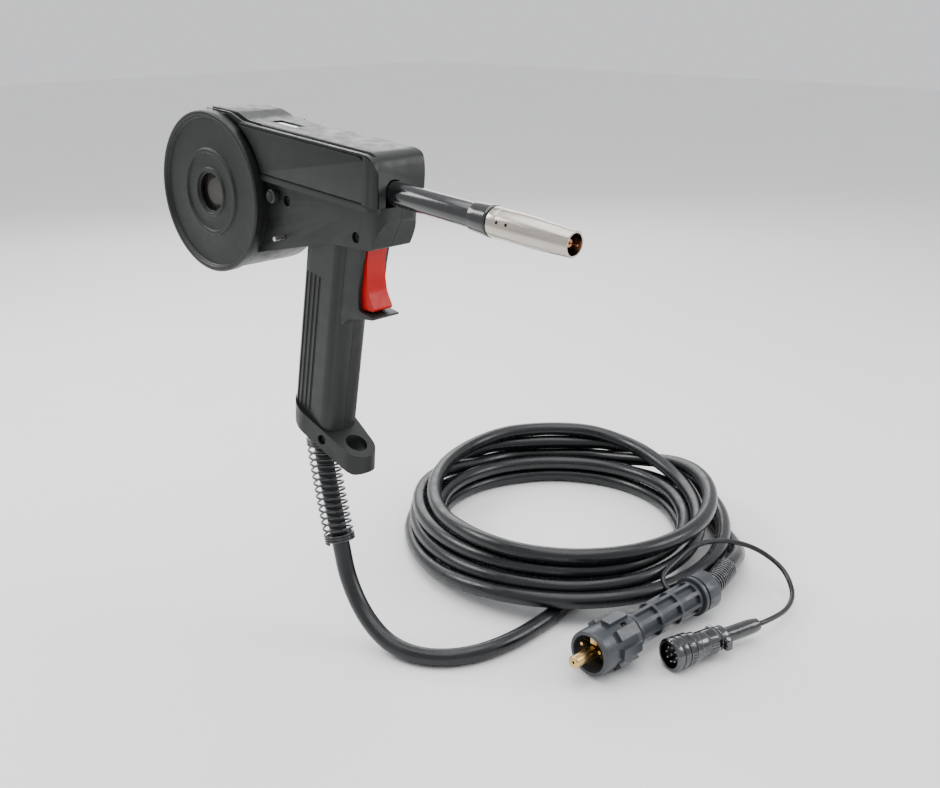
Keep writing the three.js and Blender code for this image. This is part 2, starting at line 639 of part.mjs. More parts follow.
// ---------------------------------------------------------------- grip foot

function flangePlan() {
  const shape = new THREE.Shape();
  const heel = { x: CABLE_HOLE_X, r: 21 };
  const eye = { x: EYE_X, r: EYE_R };
  const lean = Math.acos((heel.r - eye.r) / (eye.x - heel.x));
  shape.absarc(heel.x, CENTRE_Y, heel.r, lean, 2 * Math.PI - lean, false);
  shape.absarc(eye.x, CENTRE_Y, eye.r, -lean, lean, false);
  return shape;
}

function baseFlange() {
  const block = planPrism(flangePlan(), [-210, -130]);
  const keep = sidePrism([
    [80, FLANGE_TOP(80)], [165, FLANGE_TOP(165)], [165, FLANGE_TOP(165) - FLANGE_DEPTH + 4],
    [158, FLANGE_TOP(158) - FLANGE_DEPTH], [80, FLANGE_TOP(80) - FLANGE_DEPTH],
  ], [0, 64]);
  const collar = sidePrism([
    [60, FLANGE_TOP(60) - 1], [200, FLANGE_TOP(200) - 1],
    [200, FLANGE_TOP(200) + 7], [60, FLANGE_TOP(60) + 7],
  ], [0, 64]);
  const eyeHole = rod(EYE_HOLE_R, 'z', -210, -150, [EYE_X, CENTRE_Y, 0], 20);
  const cableHole = rod(9.6, 'z', -210, -130, [CABLE_HOLE_X, CENTRE_Y, 0], 22);
  const grommet = gripColumn(GRIP_LENGTH - 7, GRIP_WIDTH - 7, GRIP_CORNER - 4, -172, -100);
  const screwHole = rod(3.4, 'y', 8, 18, FLANGE_SCREW, 12);
  return cut(
    join(block.intersect(keep), grommet.intersect(collar)), eyeHole, cableHole, screwHole,
  );
}

const CABLE_EXIT = [-18.6, 0, -93];        // under the flange, in the finished frame
const SPRING_END = [-0.1, 0, -178];

function pathThrough(points) {
  return new THREE.CatmullRomCurve3(points.map((p) => new THREE.Vector3(...p)), false, 'centripetal');
}

function addFoot() {
  addPart('base_flange', baseFlange(), 'shell');
  const head = rod(3.1, 'y', 15.4, 17.9, FLANGE_SCREW, 12);
  addPart('flange_screw', cut(head, rod(1.4, 'y', 15, 16.6, FLANGE_SCREW, 6)), 'steel');
  const band = tube(7.7, 11.5, 'z', -144, -134, [CABLE_HOLE_X, CENTRE_Y, 0], 20);
  const split = box([CABLE_HOLE_X, 125], [CENTRE_Y - 0.8, CENTRE_Y + 0.8], [-160, -130]);
  addPart('cable_clamp', cut(band, split), 'steel');
}

function addGripSpring() {
  const from = new THREE.Vector3(...CABLE_EXIT);
  const run = new THREE.Vector3(...SPRING_END).sub(from);
  const body = spring(12, 0.9, 14, 'y', 4, run.length(), [0, 0, 0], 7, 3);
  const mesh = addPart('grip_spring', body, 'steel', torch);
  mesh.position.copy(from);
  mesh.quaternion.setFromUnitVectors(new THREE.Vector3(0, 1, 0), run.normalize());
}

// ---------------------------------------------------------------- cables

function coilRing() {
  const points = [];
  const half = [(COIL_COLUMNS - 1) * CABLE_R * 1.3, ((COIL_ROWS - 1) * CABLE_R * 1.7) / 2];
  const lobes = 12;
  for (let i = 0; i < lobes; i += 1) {
    const a = ((i + 0.5) / lobes) * 2 * Math.PI;
    const spread = 1 + 0.12 * Math.cos(4 * a + Math.PI);
    points.push([
      spread * (half[0] + CABLE_R) * Math.cos(a),
      spread * (half[1] + CABLE_R) * Math.sin(a),
    ]);
  }
  const low = Math.min(...points.map((p) => p[1]));
  const profile = points.map(([r, s]) => [100 + r, s - low]);
  const ring = turned(profile, 'z', [0, 0, 0], 32);
  const ratio = COIL_SEMI.map((s) => s / 100);
  const squashed = new THREE.Matrix4().makeTranslation(...COIL_CENTRE, FLOOR_Z)
    .multiply(new THREE.Matrix4().makeRotationZ(COIL_TURN))
    .multiply(new THREE.Matrix4().makeScale(ratio[0], ratio[1], 1));
  return { ring, squashed };
}

const CABLE_Z = FLOOR_Z + CABLE_R + 0.05;
const LEAD = [
  [-15, 0, -36], [-17.6, 0, -68.8], CABLE_EXIT, SPRING_END, [10, -1, -208], [30, -2, -233],
  [57, -2, -247],
  [84, 2, CABLE_Z], [107, 15, CABLE_Z], [121, 38, CABLE_Z], [126, 70, CABLE_Z], [126, 104, CABLE_Z],
  [122, 140, CABLE_Z],
];

function addCables() {
  const lead = solid(swept(pathThrough(LEAD), CABLE_R, 34, 10));
  const { ring, squashed } = coilRing();
  const geometry = geometryOf(ring).applyMatrix4(squashed);
  const coil = solid(geometry);
  const tailPath = pathThrough([
    ...[-4, 12, 30, 48].map((past) => pointOf(plug, PLUG_S.end + past, 0, 0)), [206, 306, CABLE_Z + 9],
    [189, 331, CABLE_Z + 2], [158, 359, CABLE_Z], [120, 387, CABLE_Z],
  ]);
  const tail = solid(swept(tailPath, CABLE_R, 16, 10));
  const swell = solid(geometryOf(ring).scale(1.004, 1.004, 1.02).applyMatrix4(squashed));
  addPart('power_cable_lead', lead.subtract(swell), 'rubber', torch);
  addPart('power_cable_coil', coil, 'rubber', torch);
  addPart('power_cable_tail', tail.subtract(swell), 'rubber', torch);
  const control = pathThrough([
    pointOf(plug, 142, 11, 4), pointOf(plug, 142, 19, 4), pointOf(plug, 146, 27, 9),
    [176, 240, FLOOR_Z + 38], [180, 266, FLOOR_Z + 44], [192, 292, FLOOR_Z + 42],
    [212, 312, FLOOR_Z + 33], [236, 316, FLOOR_Z + 21], [256, 300, FLOOR_Z + 12],
    [266, 274, FLOOR_Z + 10], pointOf(connector, 104, 0, 0), pointOf(connector, 86, 0, 0),
  ]);
  addPart('control_cable', solid(swept(control, CONTROL_R, 36, 6)), 'rubber', torch);
}

// ---------------------------------------------------------------- plug

function splines(count, radius, size, from, to) {
  const ribs = [];
  for (let i = 0; i < count; i += 1) {
    const rib = box([from, to], [radius - 2, radius + size], [-size, size]);
    ribs.push(rib.rotate([(360 * i) / count, 0, 0]));
  }
  return ribs;
}

function addPlug() {
  const s = PLUG_S;
  const ring = turned([
    [15.6, s.nut], [19, s.nut], [19, s.ribs], [18.8, s.ribs], [18.8, s.collar], [18, s.collar + 6],
    [16.4, s.collar + 6], [16.4, s.nut + 8], [15.6, s.nut + 8],
  ], 'x', [0, 0, 0], 24);
  const nut = join(ring, ...splines(8, 18.6, 2.6, s.ribs + 3, s.collar - 3));
  addPart('plug_nut', nut, 'plug', plug);
  const steps = [[8, s.body + 1]];
  for (let i = 0; i < 4; i += 1) {
    const at = s.body + 1 + (i * (s.flange - s.body - 4)) / 3;
    const valley = PLUG_BODY_R - 1.6;
    const step = [[valley, at], [PLUG_BODY_R, at], [PLUG_BODY_R, at + 3], [valley, at + 3]];
    steps.push(...step.slice(i === 0 ? 1 : 0, i === 3 ? 3 : 4));
  }
  const sleeve = turned([...steps, [8, s.flange]], 'x', [0, 0, 0], 20);
  const body = join(sleeve, ...splines(6, PLUG_BODY_R - 2.2, 1.4, s.body + 2, s.flange - 1));
  const outlet = rod(2.9, 'y', 6, 20, [142, 0, 4], 12);
  addPart('plug_body', cut(body, outlet), 'plug', plug);
  const rim = rod(17, 'x', s.flange + GAP, s.flange + 4, [0, 0, 0], 22);
  const waist = rod(14, 'x', s.flange + 2, s.cap + 2);
  const octagon = rod(17.4, 'x', s.cap, s.end, [0, 0, 0], 8);
  const rounding = rod(16.6, 'x', s.cap - 1, s.end + 1, [0, 0, 0], 22);
  const cap = cut(
    join(rim, waist, octagon.intersect(rounding)),
    rod(CABLE_R + 0.5, 'x', s.flange - 2, s.end + 2, [0, 0, 0], 20),
  );
  addPart('plug_end_cap', cap, 'plug', plug);
  const core = join(
    turned([[5.5, 36], [14, 36], [14, 54], [7.6, 54], [7.6, 72], [5.5, 72]], 'x', [0, 0, 0], 20),
    box([24, 38], [-3.4, 3.4], [6.2, 11.4]),
    ...[-1, 1].map((side) => rod(1.5, 'x', 20, 38, [0, 9.2 * side, 4.6], 8)),
  );
  addPart('plug_core', core, 'brass', plug);
  const pin = turned([
    [1.2, 0.6], [4.2, 0], [5.1, 1], [5.1, 60], [1.2, 60],
  ], 'x', [0, 0, 0], 16);
  addPart('plug_pin', pin, 'brass', plug);
  const relief = spring(9, 0.8, 12, 'x', s.end + 1, s.end + 47, [0, 0, 0], 7, 3);
  addPart('plug_spring', relief, 'steel', plug);
}

// ---------------------------------------------------------------- control connector

function addConnector() {
  const shell = turned([
    [10.6, 0], [12.2, 0], [CONNECTOR_R, 1.4], [CONNECTOR_R, 5], [12.6, 5.4], [12.6, 7], [CONNECTOR_R, 7.4],
    [CONNECTOR_R, 11], [12.6, 11.4], [12.6, 13], [CONNECTOR_R, 13.4], [CONNECTOR_R, 19], [11.2, 20],
    [11.2, 14], [10.6, 13],
  ], 'x', [0, 0, 0], 22);
  addPart('connector_ring', shell, 'chrome', connector);
  const pins = [[0, 0, 0]];
  for (let i = 0; i < 8; i += 1) {
    const a = (i / 8) * 2 * Math.PI;
    pins.push([0, 6.2 * Math.cos(a), 6.2 * Math.sin(a)]);
  }
  const insert = join(
    rod(10.2, 'x', 9, 21.4, [0, 0, 0], 20), ...pins.map((at) => rod(0.8, 'x', 2.4, 10, at, 8)),
  );
  addPart('connector_insert', insert, 'dark', connector);
  const back = turned([
    [10.5, 14.4], [10.9, 14.4], [10.9, 20.6], [12.2, 20.6], [12.2, 26], [10.8, 28], [10.8, 44], [9.4, 48],
    [6.8, 48], [6.8, 40], [8.6, 36], [8.6, 21.8], [10.5, 21.8],
  ], 'x', [0, 0, 0], 22);
  addPart('connector_backshell', back, 'chrome', connector);
  const clamp = cut(
    join(tube(6.2, 9.8, 'x', 48.4, 56, [0, 0, 0], 20), ...[-1, 1].map((side) => box(
      [49, 55.4], side > 0 ? [8.8, 13.4] : [-13.4, -8.8], [-3.4, 3.4],
    ))),
    ...[-1, 1].map((side) => rod(1.5, 'z', -9, 9, [52.2, 11.4 * side, 0], 8)),
  );
  addPart('connector_clamp', clamp, 'chrome', connector);
  [-1, 1].forEach((side, i) => {
    const spot = [52.2, 11.4 * side, 0];
    const screw = join(rod(1.2, 'z', -4.6, 4, spot, 8), rod(1.8, 'z', 3.7, 5.4, spot, 10));
    addPart(`clamp_screw_${i + 1}`, screw, 'chrome', connector);
  });
  const shrink = turned([
    [2.6, 38], [5.9, 38], [5.9, 84], [4.6, 92], [2.6, 94],
  ], 'x', [0, 0, 0], 16);
  addPart('cable_sleeve', shrink, 'rubber', connector);
}

addDrum();
addBody();
addDrive();
addBarrel();
addTrigger();
addFoot();
addGripSpring();
addCables();
addPlug();
addConnector();

export default torch;
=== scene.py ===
"""MIG spool gun with its power cable, central-adaptor plug and multi-pin control connector.

Shapes are drawn in millimetres in three frames: the gun frame (origin at the centre of the spool
cover's outer face, X along the barrel, Z square to it), the plug frame and the connector frame
(each along its own axis, lying on the floor). Every piece is placed by its frame's matrix and
ends in metres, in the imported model's frame.
"""
import math

import bmesh
import bpy
import numpy as np
from mathutils import Matrix, Vector, noise


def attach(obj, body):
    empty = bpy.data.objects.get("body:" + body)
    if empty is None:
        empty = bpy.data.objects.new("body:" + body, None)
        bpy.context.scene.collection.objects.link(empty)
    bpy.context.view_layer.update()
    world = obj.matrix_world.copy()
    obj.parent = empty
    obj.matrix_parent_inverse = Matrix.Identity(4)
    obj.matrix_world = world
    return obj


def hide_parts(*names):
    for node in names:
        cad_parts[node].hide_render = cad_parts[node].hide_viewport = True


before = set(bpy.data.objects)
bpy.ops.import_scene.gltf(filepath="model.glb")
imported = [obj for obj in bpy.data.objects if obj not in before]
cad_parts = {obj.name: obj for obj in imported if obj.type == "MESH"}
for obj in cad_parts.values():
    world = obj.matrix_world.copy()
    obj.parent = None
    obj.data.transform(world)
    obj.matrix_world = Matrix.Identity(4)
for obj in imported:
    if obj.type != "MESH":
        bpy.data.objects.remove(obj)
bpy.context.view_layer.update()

MM = 0.001
NOSE_DOWN = math.radians(4.64)
GRIP = Vector((117, 32, -95))          # grip centre in the gun frame
FLOOR_Z = -258

# gun frame, millimetres
COVER_R = 63.6
COVER_RIM_R = 59.3
DRUM_R = 62
DRUM_WALL = 2.8
DRUM_BACK_Y = 70
BARREL_Y = 26
BARREL_Z = 33.5
CENTRE_Y = 32                          # parting plane of the lower body and grip
FRONT_X = 190
BAND_BACK_X = -12
SEAM_Z = 24                            # upper housing above, lower body below
TOP_Z = 61
BAND_Z = 65.4                          # the housing rises over the drum
LEDGE_Z = 57.5
DOOR_TOP_Z = 60
DOOR_Y = 6
FRAME_Y = 10.5
FAR_Y = 58
HALF_WIDTH = 19                        # lower body
WALL = 2.6
DOOR_BACK_X = 40
GRIP_RAKE = math.atan(0.1035)
GRIP_SECTION = (46, 34, 11)            # length, width, corner radius
GRIP_TOP = (124.5, -20)                # x, z of the grip axis where it meets the body
FLANGE_SLOPE = 0.42
FLANGE_DEPTH = 17
FLANGE_SCREW = (127, -174.6)           # x, z
CABLE_HOLE_X = 105
WINDOW_X = (47, 77)
WINDOW_Y = (27, 37)
EYE_X = 148                            # hanging eye in the foot
NECK_R = 8.7
SCREW_SITES = ((84.5, 8.5), (163.5, -2))       # x, z of the housing screws
COVER_PIN = (82, 0, -20)
LATCH = (71, 0, 10)
TRIGGER_PIN = (151, 0, -5.5)

# cables
CABLE_R = 7.25
CONTROL_R = 2.25
CABLE_Z = FLOOR_Z + CABLE_R + 0.05
CABLE_MOUTH = (-17.6, 0, -68.8)        # where it leaves the grip, inside the flange
CABLE_EXIT = (-18.6, 0, -93)           # where the grip spring begins
SPRING_END = (-0.1, 0, -178)
COIL_CENTRE = Vector((14, 276))
COIL_TURN = math.radians(43.7)
COIL_SEMI = (139, 146)

# plug and connector
PLUG_NUT_R = 21.5
PLUG_BODY_R = 14.4
PLUG_S = {"nut": 18, "ribs": 33, "collar": 58, "body": 66, "flange": 150, "cap": 156, "end": 171}
CONNECTOR_R = 13.5
GLAND_S, GLAND_UP = 142, 4             # where the control lead leaves the plug


def floor_frame(x, y, heading, height):
    return Matrix.Translation((x, y, FLOOR_Z + height)) @ Matrix.Rotation(heading, 4, "Z")


GUN = Matrix.Rotation(NOSE_DOWN, 4, "Y") @ Matrix.Translation(-GRIP)
PLUG = floor_frame(197.8, 63.8, math.radians(86.8), PLUG_NUT_R + 0.2)
CONNECTOR = floor_frame(238.5, 135, math.radians(74), CONNECTOR_R + 0.2)
WORLD = Matrix.Identity(4)


# ------------------------------------------------------------------ camera

CAMERA_PLACE = (673.3, -549.5, 254.8)
CAMERA_TURN = 43.68                    # degrees from looking along +Y
CAMERA_DIP = 19.3
LENS = 44.04


def add_camera():
    data = bpy.data.cameras.new("camera")
    data.sensor_width = 36
    data.lens = LENS
    data.clip_end = 20
    camera = bpy.data.objects.new("camera", data)
    camera.location = Vector(CAMERA_PLACE) * MM
    camera.rotation_euler = (math.radians(90 - CAMERA_DIP), 0, math.radians(CAMERA_TURN))
    bpy.context.scene.collection.objects.link(camera)
    bpy.context.scene.camera = camera


add_camera()


# ------------------------------------------------------------------ materials

def mixed(tree, factor, low, high):
    """A colour between two, by a factor socket."""
    node = tree.nodes.new("ShaderNodeMix")
    node.data_type = "RGBA"
    tree.links.new(factor, node.inputs["Factor"])
    for socket, colour in ((node.inputs[6], low), (node.inputs[7], high)):
        if hasattr(colour, "links"):
            tree.links.new(colour, socket)
        else:
            socket.default_value = (*colour, 1)
    return node.outputs[2]


def noise_factor(tree, scale, detail=4, roughness=0.55, stretch=(1, 1, 1), low=0.35, high=0.65):
    """Object-space noise, as a factor from 0 to 1. Scale is in waves per metre."""
    place = tree.nodes.new("ShaderNodeTexCoord")
    mapping = tree.nodes.new("ShaderNodeMapping")
    mapping.inputs["Scale"].default_value = stretch
    tree.links.new(place.outputs["Object"], mapping.inputs["Vector"])
    node = tree.nodes.new("ShaderNodeTexNoise")
    node.inputs["Scale"].default_value = scale
    node.inputs["Detail"].default_value = detail
    node.inputs["Roughness"].default_value = roughness
    tree.links.new(mapping.outputs["Vector"], node.inputs["Vector"])
    spread = tree.nodes.new("ShaderNodeMapRange")
    spread.inputs["From Min"].default_value = low
    spread.inputs["From Max"].default_value = high
    tree.links.new(node.outputs["Fac"], spread.inputs["Value"])
    return spread.outputs["Result"]


def between(tree, factor, low, high):
    node = tree.nodes.new("ShaderNodeMapRange")
    node.inputs["To Min"].default_value = low
    node.inputs["To Max"].default_value = high
    tree.links.new(factor, node.inputs["Value"])
    return node.outputs["Result"]


def bumped(tree, height, distance):
    node = tree.nodes.new("ShaderNodeBump")
    node.inputs["Distance"].default_value = distance
    tree.links.new(height, node.inputs["Height"])
    return node.outputs["Normal"]


def surface(name, colour, roughness, metallic=0.0, vary=0.12, patch=45, grain=2600, depth=2e-5,
            smear=0.08, streak=(1, 1, 1), dust=None, coat=0.0, specular=0.5, edge=None):
    """A finish with uneven colour, patchy gloss, a fine grain, and dust or painted edge highlights
    if asked.
    """
    material = bpy.data.materials.new(name)
    material.use_nodes = True
    tree = material.node_tree
    shader = tree.nodes["Principled BSDF"]
    dark = [c * (1 - vary) for c in colour]
    light = [min(1.0, c * (1 + vary)) for c in colour]
    tint = mixed(tree, noise_factor(tree, patch, stretch=streak), dark, light)
    if dust:
        amount, dust_colour, dust_scale = dust
        cover = between(tree, noise_factor(tree, dust_scale, 8, 0.65, streak, 0.5, 0.8), 0, amount)
        tint = mixed(tree, cover, tint, dust_colour)
    # edge paints a lighter colour where the mesh is pointed, along edges and bevels: a painted
    # highlight.
    if edge:
        pointed = tree.nodes.new("ShaderNodeNewGeometry")
        painted_edge_highlight = tree.nodes.new("ShaderNodeMapRange")
        painted_edge_highlight.inputs["From Min"].default_value = 0.515
        painted_edge_highlight.inputs["From Max"].default_value = 0.58
        painted_edge_highlight.inputs["To Max"].default_value = edge[0]
        tree.links.new(pointed.outputs["Pointiness"], painted_edge_highlight.inputs["Value"])
        tint = mixed(tree, painted_edge_highlight.outputs["Result"], tint, edge[1])
    tree.links.new(tint, shader.inputs["Base Color"])
    gloss = noise_factor(tree, patch * 3.1, 6, 0.6, streak)
    tree.links.new(
        between(tree, gloss, roughness - smear, roughness + smear), shader.inputs["Roughness"],
    )
    fine = noise_factor(tree, grain, 3, 0.5, streak, 0.2, 0.8)
    tree.links.new(bumped(tree, fine, depth), shader.inputs["Normal"])
    shader.inputs["Metallic"].default_value = metallic
    shader.inputs["Coat Weight"].default_value = coat
    shader.inputs["Coat Roughness"].default_value = 0.12
    shader.inputs["Specular IOR Level"].default_value = specular
    return material


GREY_DUST = (0.05, 0.055, 0.058)
# The edge entries lighten each finish along its edges: painted highlights.
FINISH = {
    "shell": surface("moulded_shell", (0.0078, 0.0090, 0.0082), 0.40, specular=0.34, vary=0.14,
                     patch=30, grain=1500, depth=4e-5, dust=(0.10, (0.035, 0.038, 0.037), 260),
                     edge=(0.35, (0.03, 0.032, 0.03))),
    "dark": surface("black_plastic", (0.006, 0.0065, 0.007), 0.16, vary=0.2, patch=50, depth=6e-6,
                    smear=0.04, dust=(0.05, GREY_DUST, 320), coat=0.5),
    "knob": surface("knob_plastic", (0.016, 0.017, 0.017), 0.4, patch=120, depth=2e-5,
                    dust=(0.15, GREY_DUST, 500)),
    "red": surface("trigger_red", (0.44, 0.002, 0.001), 0.40, specular=0.22, vary=0.1, patch=60,
                   grain=1800, depth=1.5e-5, coat=0.05, dust=(0.10, (0.20, 0.01, 0.008), 300),
                   edge=(0.25, (0.5, 0.02, 0.01))),
    "window": surface("window_plastic", (0.60, 0.66, 0.68), 0.10, vary=0.06, patch=80, depth=5e-6,
                      coat=0.6, dust=(0.2, (0.45, 0.47, 0.47), 400)),
    "steel": surface("brushed_steel", (0.50, 0.50, 0.49), 0.30, 1.0, patch=120, grain=3000,
                     depth=1e-5, streak=(1, 1, 6)),
    "spring": surface("black_spring_steel", (0.030, 0.031, 0.033), 0.20, 0.75, vary=0.3, patch=160,
                      depth=6e-6, coat=0.5),
    # The black spring steel made lighter for the plug spring: a painted highlight on its turns.
    "spring_painted_highlight": surface("spring_steel_painted_highlight", (0.13, 0.13, 0.135), 0.24, 0.85, vary=0.2,
                      patch=160, depth=6e-6, coat=0.4),
    "nickel": surface("nickel_plate", (0.50, 0.46, 0.40), 0.20, 1.0, vary=0.08, patch=70,
                      grain=2200, depth=1.2e-5, streak=(0.3, 3, 3), smear=0.07,
                      dust=(0.35, (0.30, 0.27, 0.24), 220)),
    "brass": surface("turned_brass", (0.62, 0.42, 0.17), 0.26, 1.0, vary=0.16, patch=140,
                     grain=2400, depth=2e-5, streak=(1, 0.25, 1),
                     dust=(0.45, (0.26, 0.15, 0.06), 350)),
    "copper": surface("copper_tip", (0.60, 0.27, 0.14), 0.28, 1.0, patch=160, depth=1e-5,
                      dust=(0.3, (0.22, 0.09, 0.05), 300)),
    "chrome": surface("dark_chrome", (0.085, 0.086, 0.09), 0.16, 1.0, vary=0.25, patch=90,
                      grain=2000, depth=6e-6, coat=0.6, smear=0.04,
                      dust=(0.12, (0.03, 0.03, 0.032), 300)),
    "bolt": surface("blackened_bolt", (0.035, 0.036, 0.036), 0.45, 0.6, patch=200, depth=2e-5,
                    dust=(0.3, (0.02, 0.02, 0.02), 500)),
    "rubber": surface("cable_sheath", (0.0034, 0.0045, 0.0056), 0.30, vary=0.22, patch=26,
                      grain=900, depth=3e-5, smear=0.07, dust=(0.08, (0.03, 0.034, 0.038), 150)),
    "shrink": surface("shrink_sleeve", (0.010, 0.011, 0.012), 0.16, vary=0.3, patch=60, grain=380,
                      depth=1.6e-4, coat=0.6, streak=(0.5, 0.5, 1)),
    "plug": surface("plug_plastic", (0.031, 0.037, 0.043), 0.36, vary=0.12, patch=55, grain=1700,
                    depth=3e-5, dust=(0.16, (0.07, 0.08, 0.09), 260),
                    edge=(0.45, (0.08, 0.09, 0.10))),
    "spool": surface("spool_plastic", (0.038, 0.034, 0.028), 0.5, patch=70, depth=2e-5,
                     dust=(0.25, (0.03, 0.027, 0.023), 300)),
    "wire": surface("copper_wire", (0.55, 0.31, 0.16), 0.3, 1.0, vary=0.25, patch=1200, grain=3000,
                    depth=4e-5, streak=(1, 0.1, 1)),
    "board": surface("floor_board", (0.90, 0.90, 0.90), 0.62, vary=0.01, patch=3, grain=300,
                     depth=1e-5, smear=0.03),
}


# ------------------------------------------------------------------ shapes

def rounded(points, radius=0.5, closed=True, steps=4):
    """An outline with rounded corners. A third number on a point is that corner's own radius."""
    out = []
    for i, point in enumerate(points):
        here = Vector(point[:2])
        own = point[2] if len(point) > 2 else radius
        if own <= 0 or (not closed and i in (0, len(points) - 1)):
            out.append(here)
            continue
        before = Vector(points[i - 1][:2]) - here
        after = Vector(points[(i + 1) % len(points)][:2]) - here
        half = before.angle(after) / 2
        if half > math.radians(88):
            out.append(here)
            continue
        reach = min(own / math.tan(half), 0.46 * before.length, 0.46 * after.length)
        a = here + before.normalized() * reach
        b = here + after.normalized() * reach
        for k in range(steps + 1):
            u = k / steps
            out.append(a * (1 - u) ** 2 + here * (2 * u * (1 - u)) + b * u * u)
    return out


def placed(axis, across, up, along):
    """A point from two cross coordinates and one along the axis."""
    return {"X": (along, across, up), "Y": (across, along, up), "Z": (across, up, along)}[axis]


def lathe(profile, axis, at=(0, 0, 0), segments=96, radius=0.4):
    """Turned solid. The profile holds (radius, distance); it closes on itself or on the axis."""
    on_axis = profile[0][0] == 0
    outline = rounded(profile, radius, closed=not on_axis)
    bm = bmesh.new()
    rings = []
    for r, s in outline:
        count = 1 if r < 1e-6 else segments
        ring = []
        for k in range(count):
            a = 2 * math.pi * k / segments
            spot = Vector(placed(axis, r * math.cos(a), r * math.sin(a), s)) + Vector(at)
            ring.append(bm.verts.new(spot))
        rings.append(ring)
    pairs = list(zip(rings, rings[1:]))
    if not on_axis:
        pairs.append((rings[-1], rings[0]))
    for a, b in pairs:
        for k in range(segments):
            n = (k + 1) % segments
            corners = [a[k % len(a)], a[n % len(a)], b[n % len(b)], b[k % len(b)]]
            bm.faces.new(list(dict.fromkeys(corners)))
    return bm


def skinned(rings):
    """A closed solid over rings of points, capped at both ends."""
    bm = bmesh.new()
    made = [[bm.verts.new(p) for p in ring] for ring in rings]
    for a, b in zip(made, made[1:]):
        for k in range(len(a)):
            n = (k + 1) % len(a)
            bm.faces.new((a[k], a[n], b[n], b[k]))
    bm.faces.new(made[0])
    bm.faces.new(made[-1])
    return bm


def prism(outline, axis, start, stop):
    """An outline in the two cross axes, filled along the axis."""
    return skinned([[placed(axis, a, b, s) for a, b in outline] for s in (start, stop)])


def block(x, y, z):
    return prism([(x[0], y[0]), (x[1], y[0]), (x[1], y[1]), (x[0], y[1])], "Z", *z)


def rod(radius, axis, start, stop, at=(0, 0, 0), segments=48, edge=0.3):
    return lathe([(0, start), (radius, start), (radius, stop), (0, stop)], axis, at, segments, edge)


def object_of(name, bm):
    bmesh.ops.recalc_face_normals(bm, faces=bm.faces)
    mesh = bpy.data.meshes.new(name)
    bm.to_mesh(mesh)
    bm.free()
    made = bpy.data.objects.new(name, mesh)
    bpy.context.scene.collection.objects.link(made)
    return made


def settle(piece):
    """Applies a piece's modifiers."""
    graph = bpy.context.evaluated_depsgraph_get()
    mesh = bpy.data.meshes.new_from_object(piece.evaluated_get(graph))
    piece.modifiers.clear()
    piece.data = mesh


def combine(piece, tools, operation):
    helpers = []
    for bm in tools:
        helper = object_of("helper", bm) if isinstance(bm, bmesh.types.BMesh) else bm
        step = piece.modifiers.new("combine", "BOOLEAN")
        step.operation = operation
        step.solver = "EXACT"
        step.object = helper
        helpers.append(helper)
    settle(piece)
    for helper in helpers:
        bpy.data.objects.remove(helper)
    return piece


def soften(piece, width):
    """Rounds a helper's edges, in millimetres, before it is joined to another piece."""
    step = piece.modifiers.new("soften", "BEVEL")
    step.width = width
    step.segments = 5
    step.limit_method = "ANGLE"
    step.angle_limit = math.radians(40)
    settle(piece)


def cut(piece, *tools):
    return combine(piece, tools, "DIFFERENCE")


def join(piece, *tools):
    return combine(piece, tools, "UNION")


def dress(piece, finish, body, slot, *nodes):
    piece.data.materials.clear()
    piece.data.materials.append(FINISH[finish])
    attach(piece, body)
    if nodes:
        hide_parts(*nodes)
    return piece


def finished(piece, home, finish, body, slot, nodes=(), bevel=0.0, steps=3):
    """Puts a piece in its place, rounds its edges by bevel millimetres and dresses it."""
    mesh = piece.data
    mesh.transform(Matrix.Scale(MM, 4) @ home)
    mesh.shade_smooth()
    if bevel:
        step = piece.modifiers.new("edges", "BEVEL")
        step.width = bevel * MM
        step.segments = steps
        step.limit_method = "ANGLE"
        step.angle_limit = math.radians(32)
        step.harden_normals = True
        step.miter_outer = "MITER_ARC"
    else:
        mesh.set_sharp_from_angle(angle=math.radians(38))
    return dress(piece, finish, body, slot, *nodes)


def moulded(piece, node, bevel=0.0, body="frame"):
    """Finishes one of the gun's black shell pieces."""
    finished(piece, GUN, "shell", body, "shell_plastic", [node], bevel=bevel)


def curve_of(name, points, radius, home, sides=4):
    """A round wire or cable along points given in millimetres."""
    data = bpy.data.curves.new(name, "CURVE")
    data.dimensions = "3D"
    data.bevel_depth = radius * MM
    data.bevel_resolution = sides
    data.use_fill_caps = True
    spline = data.splines.new("POLY")
    spline.points.add(len(points) - 1)
    move = Matrix.Scale(MM, 4) @ home
    for spot, point in zip(spline.points, points):
        spot.co = (*(move @ Vector(point)), 1)
    spline.use_smooth = True
    made = bpy.data.objects.new(name, data)
    bpy.context.scene.collection.objects.link(made)
    return made


def coiled_wire(radius, start, stop, closed_turns, open_turns, wire, per_turn=28):
    """A compression spring's centreline along X: closed turns at both ends, open ones between."""
    points = []
    total = 2 * closed_turns + open_turns
    tight = 2 * wire * 1.04
    open_pitch = (stop - start - 2 * closed_turns * tight) / open_turns
    s = start
    for i in range(round(total * per_turn) + 1):
        turn = i / per_turn
        a = 2 * math.pi * turn
        points.append((s, radius * math.cos(a), radius * math.sin(a)))
        tight_here = turn < closed_turns or turn > total - closed_turns
        s += (tight if tight_here else open_pitch) / per_turn
    return points


